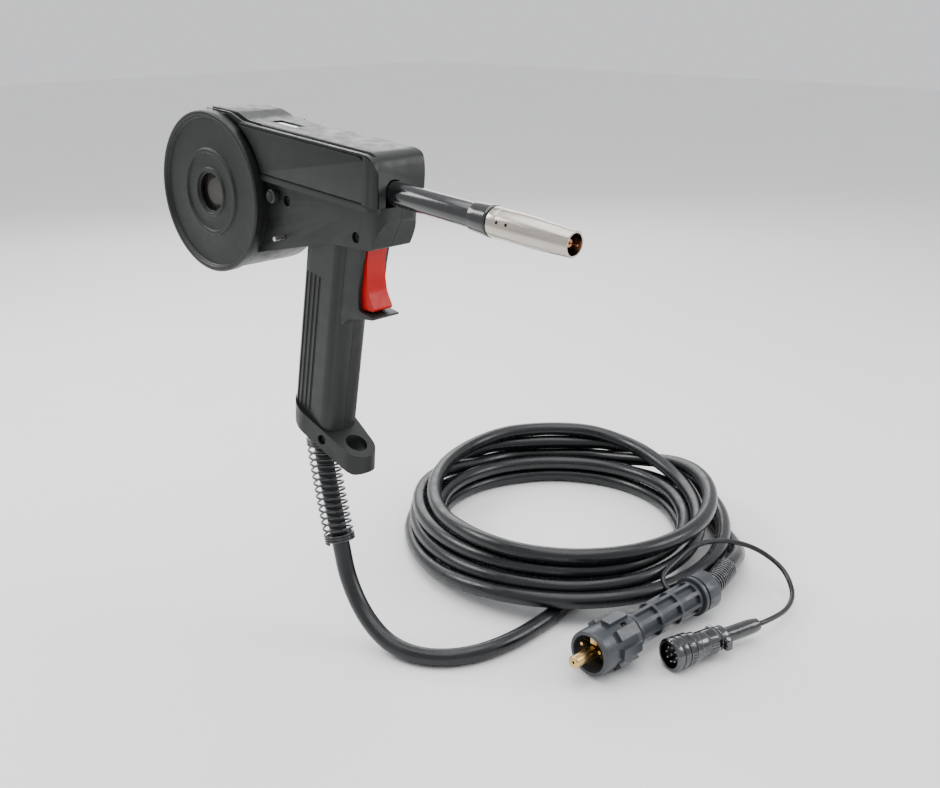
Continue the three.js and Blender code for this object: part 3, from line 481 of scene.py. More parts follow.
def smooth_path(points, step=5.0):
    """A centripetal Catmull-Rom curve through the points, sampled every few millimetres."""
    spots = [Vector(p) for p in points]
    spots = [spots[0] * 2 - spots[1], *spots, spots[-1] * 2 - spots[-2]]
    out = []
    for p0, p1, p2, p3 in zip(spots, spots[1:], spots[2:], spots[3:]):
        t0 = 0.0
        t1 = t0 + math.sqrt((p1 - p0).length)
        t2 = t1 + math.sqrt((p2 - p1).length)
        t3 = t2 + math.sqrt((p3 - p2).length)
        count = max(1, round((p2 - p1).length / step))
        for k in range(count):
            t = t1 + (t2 - t1) * k / count
            a1 = p0.lerp(p1, (t - t0) / (t1 - t0))
            a2 = p1.lerp(p2, (t - t1) / (t2 - t1))
            a3 = p2.lerp(p3, (t - t2) / (t3 - t2))
            b1 = a1.lerp(a2, (t - t0) / (t2 - t0))
            b2 = a2.lerp(a3, (t - t1) / (t3 - t1))
            out.append(b1.lerp(b2, (t - t1) / (t2 - t1)))
    out.append(spots[-2])
    return out


def bent_along(route, points, aside):
    """Carries points made round the X axis onto a route; X becomes the distance along it."""
    out = []
    for point in points:
        left = point[0]
        for here, after in zip(route, route[1:]):
            step = (after - here).length
            if left <= step:
                break
            left -= step
        along = (after - here).normalized()
        across = along.cross(Vector(aside)).normalized()
        up = across.cross(along)
        out.append(here + along * left + across * point[1] + up * point[2])
    return out


# ------------------------------------------------------------------ cables

LEAD = [
    (-15.3, 0, -40.5), CABLE_MOUTH, CABLE_EXIT, SPRING_END, (10, -1, -208), (30, -2, -233),
    (57, -2, -247), (84, 3.5, CABLE_Z), (104.5, 17, CABLE_Z), (118.5, 39, CABLE_Z),
    (125.5, 70, CABLE_Z), (126, 104, CABLE_Z), (122, 140, CABLE_Z),
]

# Quarter turns of the coil, clockwise seen from above, beginning at its left: how far each lies
# outside the middle ellipse, and the height of the cable's centre over the floor.
COIL_QUARTERS = [
    (-12, 7.3), (-21.5, 7.3), (-22, 7.3),
    (2, 22), (-14, 24), (-24.5, 22), (-19, 25),
    (12, 36.4), (4.5, 35.6), (-2, 21.5), (3.5, 49),
    (14, 51), (-9.8, 44.6), (2, 48.5), (-9, 34),
    (23.5, 27), (7, 21), (-4, 35.5), (17, 20.5),
    (38, 21.8), (12.2, 7.3), (-8, 21.5), (15, 7.3),
]
ROUTE_STEP = 10                        # millimetres between the loose route's points
HELD_LEAD = 42                         # how many of them stay where they are at each end
HELD_TAIL = 24


def coil_spot(quarter, outward, height):
    """A point of the coil, so many quarter turns clockwise from its front."""
    a = -math.pi / 2 * (1 + quarter)
    flat = Vector(((COIL_SEMI[0] + outward) * math.cos(a), (COIL_SEMI[1] + outward) * math.sin(a)))
    flat.rotate(Matrix.Rotation(COIL_TURN, 2))
    return Vector((*(COIL_CENTRE + flat), FLOOR_Z + height))


def coil_points(per_quarter=5):
    points = []
    for i, (here, after) in enumerate(zip(COIL_QUARTERS, COIL_QUARTERS[1:])):
        for k in range(per_quarter):
            u = k / per_quarter
            ease = (1 - math.cos(math.pi * u)) / 2
            outward = here[0] + (after[0] - here[0]) * ease
            height = here[1] + (after[1] - here[1]) * ease
            points.append(coil_spot(1 + i + u, outward, height))
    points.append(coil_spot(len(COIL_QUARTERS), *COIL_QUARTERS[-1]))
    return points


def spread_apart(points, diameter, rounds=150):
    """Moves the turns off each other and up off the floor, as little and as smoothly as it can."""
    start = np.array(points)
    spots = start.copy()
    order = np.arange(len(spots))
    strangers = np.abs(order[:, None] - order[None, :-1]) > 10
    free = np.ones((len(spots), 1))
    free[:HELD_LEAD] = 0
    free[-HELD_TAIL:] = 0
    for _ in range(rounds):
        run = np.diff(spots, axis=0)
        reach = spots[:, None] - spots[None, :-1]
        along = np.clip((reach * run).sum(2) / (run ** 2).sum(1), 0, 1)
        gap = reach - along[..., None] * run
        far = np.linalg.norm(gap, axis=2) + 1e-6
        press = np.where(strangers & (far < diameter), (diameter - far) / far / 2, 0)
        shift = spots - start + (gap * press[..., None]).sum(1) * free
        shift[1:-1] += 0.2 * (shift[:-2] + shift[2:] - 2 * shift[1:-1]) * free[1:-1]
        spots = start + shift * (1 - 0.012 * free)
        spots[:, 2] = np.maximum(spots[:, 2], np.minimum(start[:, 2], CABLE_Z))
    return [Vector(p) for p in spots]


def plug_spot(s, y=0, z=0):
    return PLUG @ Vector((s, y, z))


def connector_spot(s):
    return CONNECTOR @ Vector((s, 0, 0))


def across_floor(right, back):
    """A point on the floor, along the coil's own two axes."""
    flat = Vector((right, back))
    flat.rotate(Matrix.Rotation(COIL_TURN, 2))
    return Vector((*flat, CABLE_Z))


def turn_inside():
    """The lead's way under the front of the coil, to its left side."""
    out = [across_floor(137 + 60 * math.cos(a), 53 + 60 * math.sin(a))
           for a in (math.radians(d) for d in (-16, 4, 24, 44, 64))]
    out += [across_floor(149 + 75 * math.cos(a), 190 + 75 * math.sin(a))
            for a in (math.radians(d) for d in (250, 232, 214, 196))]
    return out


def cable_route():
    tail = [
        (160.6, 355.4, CABLE_Z), (175.9, 339.5, CABLE_Z + 3), (187.6, 320.9, CABLE_Z + 8),
        (195.1, 300.2, CABLE_Z + 12), (200, 280.5, CABLE_Z + 14), (204.8, 261.4, CABLE_Z + 14.4),
        (207.3, 247.8, CABLE_Z + 14.4), plug_spot(PLUG_S["end"]), plug_spot(PLUG_S["end"] - 6),
    ]
    loose = smooth_path([*LEAD, *turn_inside(), *coil_points(), *tail], ROUTE_STEP)
    return smooth_path(spread_apart(loose, 2 * CABLE_R + 0.15))


def control_route():
    return smooth_path([
        plug_spot(GLAND_S, 11, GLAND_UP), plug_spot(GLAND_S, 19, GLAND_UP), plug_spot(146, 27, 9),
        (176, 240, FLOOR_Z + 38), (180, 266, FLOOR_Z + 44), (192, 292, FLOOR_Z + 42),
        (212, 312, FLOOR_Z + 33), (236, 316, FLOOR_Z + 21), (256, 300, FLOOR_Z + 12),
        (266, 274, FLOOR_Z + 10), connector_spot(104), connector_spot(86),
    ], 3.0)


CABLE_PATH = cable_route()
CONTROL_PATH = control_route()
power_cable = curve_of("power_cable", CABLE_PATH, CABLE_R, WORLD, 8)
dress(power_cable, "rubber", "frame", "rubber",
      "power_cable_lead", "power_cable_coil", "power_cable_tail")
control_lead = curve_of("control_lead", CONTROL_PATH, CONTROL_R, WORLD, 5)
dress(control_lead, "rubber", "frame", "rubber", "control_cable")


# ------------------------------------------------------------------ spool drum

def add_cover():
    profile = [
        (15, 3.4), (15, 6), (53.7, 6), (53.7, 12), (56.3, 12), (56.3, 8, 0.2), (COVER_R, 8, 0.5),
        (COVER_R, 0, 1.6), (COVER_RIM_R + 0.6, 0, 1.2), (COVER_RIM_R - 0.8, 3, 1.2), (34.4, 3, 0.8),
        (33.8, 1.6, 0.6), (31, 1.6, 0.6), (30.6, 3, 0.8), (19.4, 3, 0.6), (19, 1.8, 0.5),
        (17, 1.8, 0.5), (16.6, 3.4, 0.3),
    ]
    cover = object_of("cover_shell", lathe(profile, "Y", segments=160))
    moulded(cover, "spool_cover", body="spool_cover")


def add_drum():
    inner = DRUM_R - DRUM_WALL
    profile = [
        (0, DRUM_BACK_Y - DRUM_WALL), (inner, DRUM_BACK_Y - DRUM_WALL, 2), (inner, 8.6, 0.3),
        (DRUM_R, 8.6, 0.5), (DRUM_R, DRUM_BACK_Y, 5), (40, DRUM_BACK_Y, 0.5),
        (38.5, DRUM_BACK_Y - 0.8, 0.5), (0, DRUM_BACK_Y - 0.8),
    ]
    drum = object_of("drum_shell", lathe(profile, "Y", segments=160))
    tab = prism(rounded([(-64.5, 24, 2), (-56, 24), (-56, 32), (-64.5, 32, 2)], 0.1), "Y", 12, 24)
    join(drum, tab)
    hollow = rod(inner, "Y", 8, DRUM_BACK_Y - DRUM_WALL, segments=96)
    wire_exit = block((40, 70), (BARREL_Y - 5, BARREL_Y + 5), (BARREL_Z - 6, BARREL_Z + 6))
    cut(drum, hollow, wire_exit)
    moulded(drum, "drum_housing", 0.6)


def add_spool():
    spool = lathe([
        (8.3, 10), (50, 10), (50, 12.4), (22, 12.4), (22, 50.6), (50, 50.6), (50, 53), (8.3, 53),
    ], "Y", segments=96)
    finished(object_of("spool_flanges", spool), GUN, "spool", "spool", "spool_plastic",
             ["wire_spool"])
    layers = []
    for i in range(38):
        y = 12.9 + i
        layers += [(32.55, y - 0.42, 0.2), (33.1, y, 0.3)]
    winding = [(22.2, 12.5), *layers, (32.5, 50.4), (22.2, 50.4)]
    finished(object_of("wound_wire", lathe(winding, "Y", segments=72)), GUN, "wire", "spool",
             "welding_wire", ["wire_winding"])
    knob = object_of("hub_knob", lathe([
        (0, 7), (9.6, 7, 0.8), (12, 8, 0.8), (12, 9.7),
        (2.8, 9.7), (2.8, 29), (0, 29),
    ], "Y"))
    finished(knob, GUN, "spool", "spindle_nut", "spool_plastic", ["spindle_nut"])


# ------------------------------------------------------------------ body

def drum_clearance():
    return rod(DRUM_R + 0.3, "Y", -5, 80, segments=160)


def cover_clearance(gap=0.5, depth=11):
    return rod(COVER_R + gap, "Y", -5, depth, segments=160)


def housing_block(top, profile, start, stop):
    """The upper housing's section run forward, under an outline seen from the side."""
    section = rounded([
        (FRAME_Y, SEAM_Z + 0.3, 0.4), (FAR_Y - 1, SEAM_Z + 0.3, 1), (FAR_Y, 28, 4),
        (FAR_Y, top, 4.5), (15, top, 1.4), (14.4, LEDGE_Z, 0.6), (FRAME_Y, LEDGE_Z, 0.5),
    ], steps=6)
    made = object_of("housing_block", prism(section, "X", start, stop))
    combine(made, [prism(profile, "Y", 0, 64)], "INTERSECT")
    return made


def band_profile(lower):
    """The rise over the drum and its blend into the flat top."""
    return rounded([
        (4, 30), (52, 30), (52, TOP_Z - 0.3 - lower), (35, TOP_Z - lower, 26),
        (19, BAND_Z + 0.3 - lower, 26), (BAND_BACK_X, BAND_Z - 0.8 - lower),
        (BAND_BACK_X, BAND_Z - 8),
    ], 0, steps=10)


def add_upper_housing():
    profile = rounded([
        (4, SEAM_Z), (FRONT_X, SEAM_Z), (FRONT_X, 34, 12), (FRONT_X - 7, TOP_Z - 0.5, 13),
        (60, TOP_Z, 40), (4, TOP_Z),
    ], 0, steps=12)
    housing = housing_block(TOP_Z, profile, 4, FRONT_X)
    housing.name = "top_housing"
    plan = rounded([(4, 0), (FRONT_X, 0), (FRONT_X, FAR_Y, 9), (4, FAR_Y)], 0, steps=8)
    combine(housing, [prism(plan, "Z", 0, 80)], "INTERSECT")
    join(
        housing, housing_block(BAND_Z, band_profile(0), BAND_BACK_X, 50),
        prism(band_profile(3.2), "Y", 9, 16), prism(band_profile(0.5), "Y", 9, 10.4),
    )
    arch = [(BARREL_Y + 9.4 * math.cos(a), BARREL_Z + 9.4 * math.sin(a))
            for a in (math.pi * (1 - i / 24) for i in range(25))]
    neck_arch = prism([(BARREL_Y - 9.4, 20), *arch, (BARREL_Y + 9.4, 20)], "X", 170, FRONT_X + 5)
    cut(
        housing,
        block((30, 181.4), (17, FAR_Y - WALL), (0, 50)),
        block((30, 174), (17, FAR_Y - WALL), (0, LEDGE_Z)),
        block((30, 176), (0, 20), (0, LEDGE_Z - 3)),
        block((40, 164), (22, FAR_Y - 8), (40, TOP_Z - 2.3)),
        neck_arch,
        prism(window_outline(0, 0.6), "Z", 55, 70),
        drum_clearance(),
        cover_clearance(),
        cover_clearance(1.3, 9.6),
    )
    moulded(housing, "upper_housing", 0.6)


def door_outline(inset, corner, short=0):
    """The side door from the side: a plain back edge and a big round corner at the top front."""
    back, nose = DOOR_BACK_X - 6, FRONT_X - 1 - inset - short
    low, top = SEAM_Z + inset, DOOR_TOP_Z - inset
    return rounded([(back, low), (nose, low, 0.6), (nose, top, corner), (back, top)], 0, steps=12)


def add_side_door():
    nose = FRONT_X - 1
    plan = rounded([
        (DOOR_BACK_X - 6, DOOR_Y - 0.1), (nose - 8, DOOR_Y - 0.1, 14), (nose - 0.6, DOOR_Y + 2, 5),
        (nose, FRAME_Y - 0.3), (DOOR_BACK_X - 6, FRAME_Y - 0.3),
    ], 0, steps=10)
    door = object_of("door_panel", prism(door_outline(0, 14), "Y", DOOR_Y + 2, FRAME_Y - 0.3))
    ridge = object_of("ridge", prism(door_outline(0, 14), "Y", DOOR_Y + 0.9, DOOR_Y + 3))
    cut(ridge, prism(door_outline(1.0, 13.2), "Y", 0, 20))
    corner = object_of("corner", prism(door_outline(0.9, 13.2), "Y", DOOR_Y - 1, DOOR_Y + 3))
    cut(corner, block((0, nose - 12), (0, 20), (0, 80)))
    swell = object_of("swell", prism(door_outline(2.5, 10.5, 7), "Y", DOOR_Y, FRAME_Y - 0.3))
    cut(swell, cover_clearance(3.6, 30))
    soften(swell, 1.9)
    join(door, ridge, corner, swell)
    combine(door, [prism(plan, "Z", SEAM_Z - 1, DOOR_TOP_Z + 1)], "INTERSECT")
    lip = block((DOOR_BACK_X, 175.7), (DOOR_Y + 1, CENTRE_Y - HALF_WIDTH - 0.3),
                (SEAM_Z - 3, SEAM_Z + 1))
    plan = rounded([
        (DOOR_BACK_X, DOOR_Y + 0.6), (nose - 8, DOOR_Y + 0.6, 12), (nose, DOOR_Y + 2.6, 5),
        (nose + 0.4, CENTRE_Y - HALF_WIDTH - 0.3), (DOOR_BACK_X, CENTRE_Y - HALF_WIDTH - 0.3),
    ], 0, steps=8)
    join(door, lip, prism(plan, "Z", SEAM_Z - 3.4, SEAM_Z + 0.1))
    cut(
        door,
        block((DOOR_BACK_X - 8, nose - 15), (DOOR_Y + 2.8, 20), (SEAM_Z + 2.6, LEDGE_Z - 4)),
        cover_clearance(1.6, 30),
    )
    moulded(door, "side_door", 0.35, "side_door")


def window_outline(inset, corner):
    (x0, x1), (y0, y1) = WINDOW_X, WINDOW_Y
    return rounded([(x0 + inset, y0 + inset), (x1 - inset, y0 + inset), (x1 - inset, y1 - inset),
                    (x0 + inset, y1 - inset)], corner)


def add_window():
    pane = object_of("window_pane", prism(window_outline(0.3, 0.6), "Z", 57, 59.2))
    join(pane, prism(window_outline(2, 1.5), "Z", 59, 60))
    cut(pane, drum_clearance())
    finished(pane, GUN, "window", "frame", "window", ["sight_window"], bevel=0.5)


def grip_ring(size, z):
    """One section of the grip column, at a distance below the body along its raked axis."""
    length, width, corner = size
    half = [(-length / 2, -width / 2), (length / 2, -width / 2), (length / 2, width / 2),
            (-length / 2, width / 2)]
    lean = Matrix.Rotation(GRIP_RAKE, 3, "Y")
    ring = []
    for a, b in rounded(half, corner, steps=8):
        spot = lean @ Vector((a, b, z - GRIP_TOP[1]))
        ring.append(spot + Vector((GRIP_TOP[0], CENTRE_Y, GRIP_TOP[1])))
    return ring


def grip_column(shrink, start, stop):
    length, width, corner = GRIP_SECTION
    size = (length - shrink, width - shrink, max(2, corner - shrink / 2))
    return skinned([grip_ring(size, z) for z in (start, stop)])


def grip_grooves():
    """Five upright flutes down each side, near the back of the grip."""
    grooves = []
    lean = Matrix.Translation((GRIP_TOP[0], CENTRE_Y, GRIP_TOP[1])) @ Matrix.Rotation(
        GRIP_RAKE, 4, "Y")
    depths = (3.1, 0.5, 0, 0, 0)
    for side in (-1, 1):
        for i, depth in enumerate(depths):
            x = -GRIP_SECTION[0] / 2 + 3 + i * 5
            y = side * (GRIP_SECTION[1] / 2 - depth)
            groove = lathe([(0, -135), (1.3, -135), (1.3, -22), (0, -22)], "Z", (x, y, 0), 24, 1.2)
            bmesh.ops.transform(groove, matrix=lean, verts=groove.verts)
            grooves.append(groove)
    return grooves


def flange_top(x):
    return -158.1 - FLANGE_SLOPE * (x - 108)


def lower_body():
    near, far = CENTRE_Y - HALF_WIDTH, CENTRE_Y + HALF_WIDTH
    body = prism(rounded([
        (40, SEAM_Z - 0.3), (40, -42.5), (52, -38.5, 8), (135, -13, 12), (FRONT_X - 10, -8.5, 3),
        (FRONT_X, 14, 4), (FRONT_X, SEAM_Z - 0.3),
    ], 0, steps=6), "Y", near, far)
    guard = prism(rounded([
        (130, -5), (166.5, -6), (163, -25, 30), (160.8, -45, 20), (161.5, -59, 4),
        (178, -60.6, 0.8), (177, -62.4, 0.8), (160, -65.4, 20), (150, -68.5, 14), (143, -76, 10),
        (130, -76),
    ], 0, steps=6), "Y", CENTRE_Y - 13, CENTRE_Y + 13)
    shell = object_of("lower_body", body)
    plan = rounded([(30, near), (FRONT_X, near, 9), (FRONT_X, far, 9), (30, far)], 0, steps=8)
    combine(shell, [prism(plan, "Z", -60, SEAM_Z + 5)], "INTERSECT")
    bow = object_of("bow", guard)
    soften(bow, 4)
    join(shell, bow, grip_column(0, -172, -10))
    room = prism([
        (40, 40), (40, -35), (52, -35.5), (135, -10.2), (FRONT_X - 12, -5.8),
        (FRONT_X - WALL, 14.6), (FRONT_X - WALL, 40),
    ], "Y", near + WALL, far - WALL)
    slots = [block((126, 190), (CENTRE_Y - 9.6, CENTRE_Y + 9.6), (-59.4, -8.6)),
             block((126, 170), (CENTRE_Y - 9.6, CENTRE_Y + 9.6), (-9, 2))]
    foot = prism([
        (60, flange_top(60) + 0.2), (200, flange_top(200) + 0.2), (200, -230), (60, -230),
    ], "Y", 0, 64)
    cut(
        shell, room, grip_column(6, -190, 0), *slots, foot,
        rod(NECK_R + 0.7, "X", 165, 190, (0, BARREL_Y, BARREL_Z)),
        drum_clearance(), cover_clearance(0.6), *grip_grooves(),
    )
    return shell


def add_lower_body():
    near_y = CENTRE_Y - HALF_WIDTH
    whole = lower_body()
    other = whole.copy()
    other.data = whole.data.copy()
    bpy.context.scene.collection.objects.link(other)
    sinks = [rod(4, "Y", near_y - 1, near_y + 3.2, (x, 0, z)) for x, z in SCREW_SITES]
    bosses = [rod(4.6, "Y", near_y + 0.4, CENTRE_Y - 0.1, (x, 0, z), 32) for x, z in SCREW_SITES]
    far_bosses = [rod(4.6, "Y", CENTRE_Y + 0.1, CENTRE_Y + HALF_WIDTH - 0.4, (x, 0, z), 32)
                  for x, z in SCREW_SITES]
    pin_hole = rod(1.8, "Y", near_y + 1.8, 64, TRIGGER_PIN, 24)
    cut(whole, block((0, 220), (CENTRE_Y - 0.12, 80), (-220, 60)))
    join(whole, *bosses)
    cut(whole, *sinks, pin_hole, rod(4.3, "Y", 0, 20, LATCH, 32),
        rod(2, "Y", 0, 20, COVER_PIN, 24))
    cut(other, block((0, 220), (-10, CENTRE_Y + 0.12), (-220, 60)))
    join(other, *far_bosses)
    cut(other, rod(1.8, "Y", 0, 64, TRIGGER_PIN, 24))
    moulded(whole, "housing_right", 0.8)
    other.name = "lower_body_left"
    moulded(other, "housing_left", 0.8)


def cross_screw(name, radius, at, node, finish, length=30):
    """A countersunk machine screw with a cross recess, its head towards -Y."""
    x, y, z = at
    screw = object_of(name, lathe([
        (0, y), (radius, y, 0.5), (radius, y + 1.2, 0.4), (1.6, y + 2.2), (1.6, y + length),
        (0, y + length),
    ], "Y", (x, 0, z), 40, 0.1))
    reach, slot = radius * 0.6, radius * 0.14
    cut(screw, block((x - reach, x + reach), (y - 1, y + 0.9), (z - slot, z + slot)),
        block((x - slot, x + slot), (y - 1, y + 0.9), (z - reach, z + reach)))
    finished(screw, GUN, finish, "frame", "steel", [node], bevel=0.1, steps=2)


def add_body_fittings():
    near_y = CENTRE_Y - HALF_WIDTH
    for i, (x, z) in enumerate(SCREW_SITES, 1):
        cross_screw(f"body_screw_{i}", 3.2, (x, near_y + 2.2, z), f"housing_screw_{i}", "bolt")
    stub = lathe([
        (0, 8.6), (2, 8.2, 0.5), (4.0, 7.2, 0.8), (5.4, 7.6, 1.0), (5.4, 12.7, 0.3), (4, 12.7),
        (4, 18), (0, 18),
    ], "Y", LATCH, 48)
    finished(object_of("latch_knob", stub), GUN, "knob", "cover_latch", "dark_plastic",
             ["cover_latch"])
    pin = lathe([(0, 2.5), (1.7, 2.5, 0.7), (1.7, 20), (0, 20)], "Y", COVER_PIN, 32)
    finished(object_of("stop_pin", pin), GUN, "steel", "frame", "steel", ["cover_pin"])


# ------------------------------------------------------------------ barrel

def add_barrel():
    at = (0, BARREL_Y, BARREL_Z)
    neck = lathe([
        (3.4, 166.4), (7, 166.4), (7, 181.2), (NECK_R, 181.2, 0.8), (NECK_R, 272), (6.2, 272),
        (6.2, 280), (3.4, 280),
    ], "X", at, 96)
    finished(object_of("neck_sheath", neck), GUN, "dark", "frame", "dark_plastic", ["neck_tube"])
    sleeve = lathe([
        (6.5, 272.4), (NECK_R + 0.3, 272.4), (NECK_R + 0.3, 267), (10.1, 267, 0.5),
        (10.3, 272, 1), (10.9, 281.6, 1.0), (10.7, 283.5, 0.6), (6.5, 283.5),
    ], "X", at, 96)
    finished(object_of("neck_collar", sleeve), GUN, "dark", "frame", "dark_plastic",
             ["nozzle_sleeve"])
    nozzle = object_of("nozzle_tube", lathe([
        (6.6, 284), (10.3, 284, 0.6), (10.3, 290, 0.2), (10.1, 290.5, 0.2), (10.1, 291.5, 0.2),
        (10.3, 292, 0.2), (10.3, 316, 60), (8.6, 349.4, 0.5), (8.2, 350, 0.3), (7.2, 350, 0.3),
        (8.4, 312, 2), (6.6, 304),
    ], "X", at, 128, 0.3))
    cut(nozzle, *[rod(1.1, "Y", -30, 0, (x, BARREL_Y, BARREL_Z + 3), 24, 0.1)
                  for x in (293.5, 301.5)])
    finished(nozzle, GUN, "nickel", "gas_nozzle", "nickel", ["gas_nozzle"])
    tip = lathe([
        (0.8, 311.4), (2.9, 311.4), (2.9, 318.4), (4, 318.4), (4, 341, 2), (2.6, 346), (0.8, 346),
    ], "X", at, 48)
    finished(object_of("tip_turned", tip), GUN, "copper", "frame", "copper", ["contact_tip"])


# ------------------------------------------------------------------ trigger and foot

def add_trigger():
    front = [(167, -7.8, 2), (165.2, -22, 40), (165.6, -34, 40), (168, -45, 20),
             (174.5, -55.6, 1.6), (173.4, -57.4, 1)]
    outline = rounded([
        (146.4, -5.5, 3), (148, -1.8, 2), (151, -0.6, 2), (154, -1.8, 2), (156, -7, 2), *front,
        (160, -58.6, 1), (151, -56, 1), (150, -40, 1), (150, -34), (144, -34), (144, -30),
        (150, -30), (150, -12, 2),
    ], 0, steps=6)
    trigger = object_of("trigger_blade", prism(outline, "Y", CENTRE_Y - 9, CENTRE_Y + 9))
    cut(
        trigger, rod(1.9, "Y", 0, 64, TRIGGER_PIN, 24),
        block((140, 156), (36.4, 45), (-12, 2)),
        block((140, 148), (20, CENTRE_Y - 4), (-36, -28)),
        block((140, 148), (CENTRE_Y + 4, 45), (-36, -28)),
    )
    finished(trigger, GUN, "red", "trigger", "trigger_red", ["trigger"], bevel=1.5, steps=4)


def add_foot():
    heel, eye = (CABLE_HOLE_X, 21), (EYE_X, 15)
    lean = math.acos((heel[1] - eye[1]) / (eye[0] - heel[0]))
    plan = []
    for (x, r), start, stop in ((heel, lean, 2 * math.pi - lean), (eye, -lean, lean)):
        for i in range(49):
            a = start + (stop - start) * i / 48
            plan.append((x + r * math.cos(a), CENTRE_Y + r * math.sin(a)))
    flange = object_of("foot_flange", prism(plan, "Z", -210, -130))
    keep = prism(rounded([
        (80, flange_top(80)), (165, flange_top(165)), (165, flange_top(165) - FLANGE_DEPTH + 4, 6),
        (158, flange_top(158) - FLANGE_DEPTH, 6), (80, flange_top(80) - FLANGE_DEPTH),
    ], 0, steps=5), "Y", 0, 64)
    combine(flange, [keep], "INTERSECT")
    collar = object_of("collar", grip_column(7, -172, -100))
    combine(collar, [prism([
        (60, flange_top(60) - 1), (200, flange_top(200) - 1), (200, flange_top(200) + 7),
        (60, flange_top(60) + 7),
    ], "Y", 0, 64)], "INTERSECT")
    join(flange, collar)
    cut(
        flange,
        rod(8.5, "Z", -210, -150, (EYE_X, CENTRE_Y, 0), 64),
        rod(9.6, "Z", -210, -130, (CABLE_HOLE_X, CENTRE_Y, 0), 64),
        rod(4, "Y", 8, 18, (FLANGE_SCREW[0], 0, FLANGE_SCREW[1]), 32),
    )
    moulded(flange, "base_flange", 1.0)
    x, z = FLANGE_SCREW
    cross_screw("flange_bolt", 3.1, (x, 16.4, z), "flange_screw", "bolt", 2.5)


def add_grip_spring():
    wire = bent_along(CABLE_PATH, coiled_wire(11.9, 47, 138, 3, 14, 1.0), (1, 0, 0))
    dress(curve_of("grip_coil_spring", wire, 1.0, WORLD, 4), "spring", "frame",
          "blackened_steel", "grip_spring")


add_cover()
add_drum()
add_spool()
add_upper_housing()
add_side_door()
add_window()
add_lower_body()
add_body_fittings()
add_barrel()
add_trigger()
add_foot()
add_grip_spring()


# ------------------------------------------------------------------ plug

def ribs(count, radius, size, start, stop, turn=0.0, sink=2.0, width=None):
    """Straight ribs along X, spaced evenly round the axis."""
    made = []
    half = width or size
    for i in range(count):
        rib = block((start, stop), (radius - sink, radius + size), (-half, half))
        spin = Matrix.Rotation(2 * math.pi * i / count + turn, 4, "X")
        bmesh.ops.transform(rib, matrix=spin, verts=rib.verts)
        made.append(rib)
    return made


def add_plug():
    s = PLUG_S
    nut = object_of("plug_ring", lathe([
        (15.6, s["nut"]), (18.6, s["nut"], 0.8), (19, s["nut"] + 3, 1), (19, s["ribs"], 0.4),
        (18.4, s["ribs"] + 1, 0.4), (18.4, s["collar"], 0.8), (17.2, s["collar"] + 6, 1),
        (16.4, s["collar"] + 6), (16.4, s["nut"] + 8), (15.6, s["nut"] + 8),
    ], "X", segments=96))
    join(nut, *ribs(8, 18.4, 3.0, s["ribs"] + 4, s["collar"] + 1, width=4.6))
    windows = ribs(4, 19, 4, s["collar"] - 10, s["collar"] - 4, turn=math.pi / 8, sink=4,
                   width=1.8)
    cut(nut, *windows)
    finished(nut, PLUG, "plug", "plug_nut", "plug_plastic", ["plug_nut"], bevel=0.6)
    span = (s["body"] + 1, s["flange"])
    sleeve = object_of("plug_handle", lathe([
        (8, span[0]), (PLUG_BODY_R - 3, span[0]), (PLUG_BODY_R - 3, span[1]), (8, span[1]),
    ], "X", segments=72))
    hoops = []
    for i in range(4):
        at = span[0] + 0.4 + i * (span[1] - span[0] - 4.4) / 3
        hoops.append(lathe([
            (10, at), (PLUG_BODY_R, at), (PLUG_BODY_R, at + 3.6), (10, at + 3.6),
        ], "X", segments=72, radius=0.2))
    join(sleeve, *hoops)
    join(sleeve, *ribs(8, PLUG_BODY_R - 3, 2.9, span[0] + 1, span[1] - 0.5, width=1.7))
    cut(sleeve, rod(2.9, "Y", 6, 20, (GLAND_S, 0, GLAND_UP), 32))
    finished(sleeve, PLUG, "plug", "frame", "plug_plastic", ["plug_body"], bevel=0.35)
    add_plug_end()
    add_plug_contacts()


def add_plug_end():
    s = PLUG_S
    cap = object_of("plug_cap", lathe([
        (13, s["flange"] + 0.3), (17.4, s["flange"] + 0.3), (17.4, s["flange"] + 4),
        (15, s["flange"] + 4.6), (15, s["cap"] - 0.5), (17.4, s["cap"]), (17.4, s["end"]),
        (CABLE_R + 0.5, s["end"]), (CABLE_R + 0.5, s["cap"] + 2), (13, s["cap"] + 2),
    ], "X", segments=72, radius=0.3))
    octagon = [(18.6 * math.cos(math.pi * (k + 0.5) / 4), 18.6 * math.sin(math.pi * (k + 0.5) / 4))
               for k in range(8)]
    combine(cap, [prism(octagon, "X", s["flange"] - 2, s["end"] + 2)], "INTERSECT")
    finished(cap, PLUG, "plug", "frame", "plug_plastic", ["plug_end_cap"], bevel=0.6)
    wire = bent_along(CABLE_PATH[::-1], coiled_wire(9.2, 7, 53, 1, 13, 0.75), (0, 0, 1))
    # The plug spring takes the lightened copy of the spring steel: a painted highlight.
    dress(curve_of("plug_coil_spring", wire, 0.75, WORLD, 4), "spring_painted_highlight", "frame",
          "blackened_steel", "plug_spring")


def add_plug_contacts():
    core = object_of("plug_terminal", lathe([
        (5.5, 36), (14, 36, 0.5), (14, 54), (7.6, 54), (7.6, 72), (5.5, 72),
    ], "X", segments=64))
    sockets = [rod(1.5, "X", 20, 38, (0, 9.2 * side, 4.6), 32) for side in (-1, 1)]
    join(core, block((24, 38), (-3.4, 3.4), (6.2, 11.4)), *sockets)
    finished(core, PLUG, "brass", "frame", "brass", ["plug_core"], bevel=0.3)
    pin = lathe([
        (1.2, 0.6, 0.2), (4.2, 0, 0.5), (5.1, 1.2, 0.4), (5.1, 60), (1.2, 60),
    ], "X", segments=64)
    finished(object_of("gas_pin", pin), PLUG, "brass", "frame", "brass", ["plug_pin"])


# ------------------------------------------------------------------ control connector

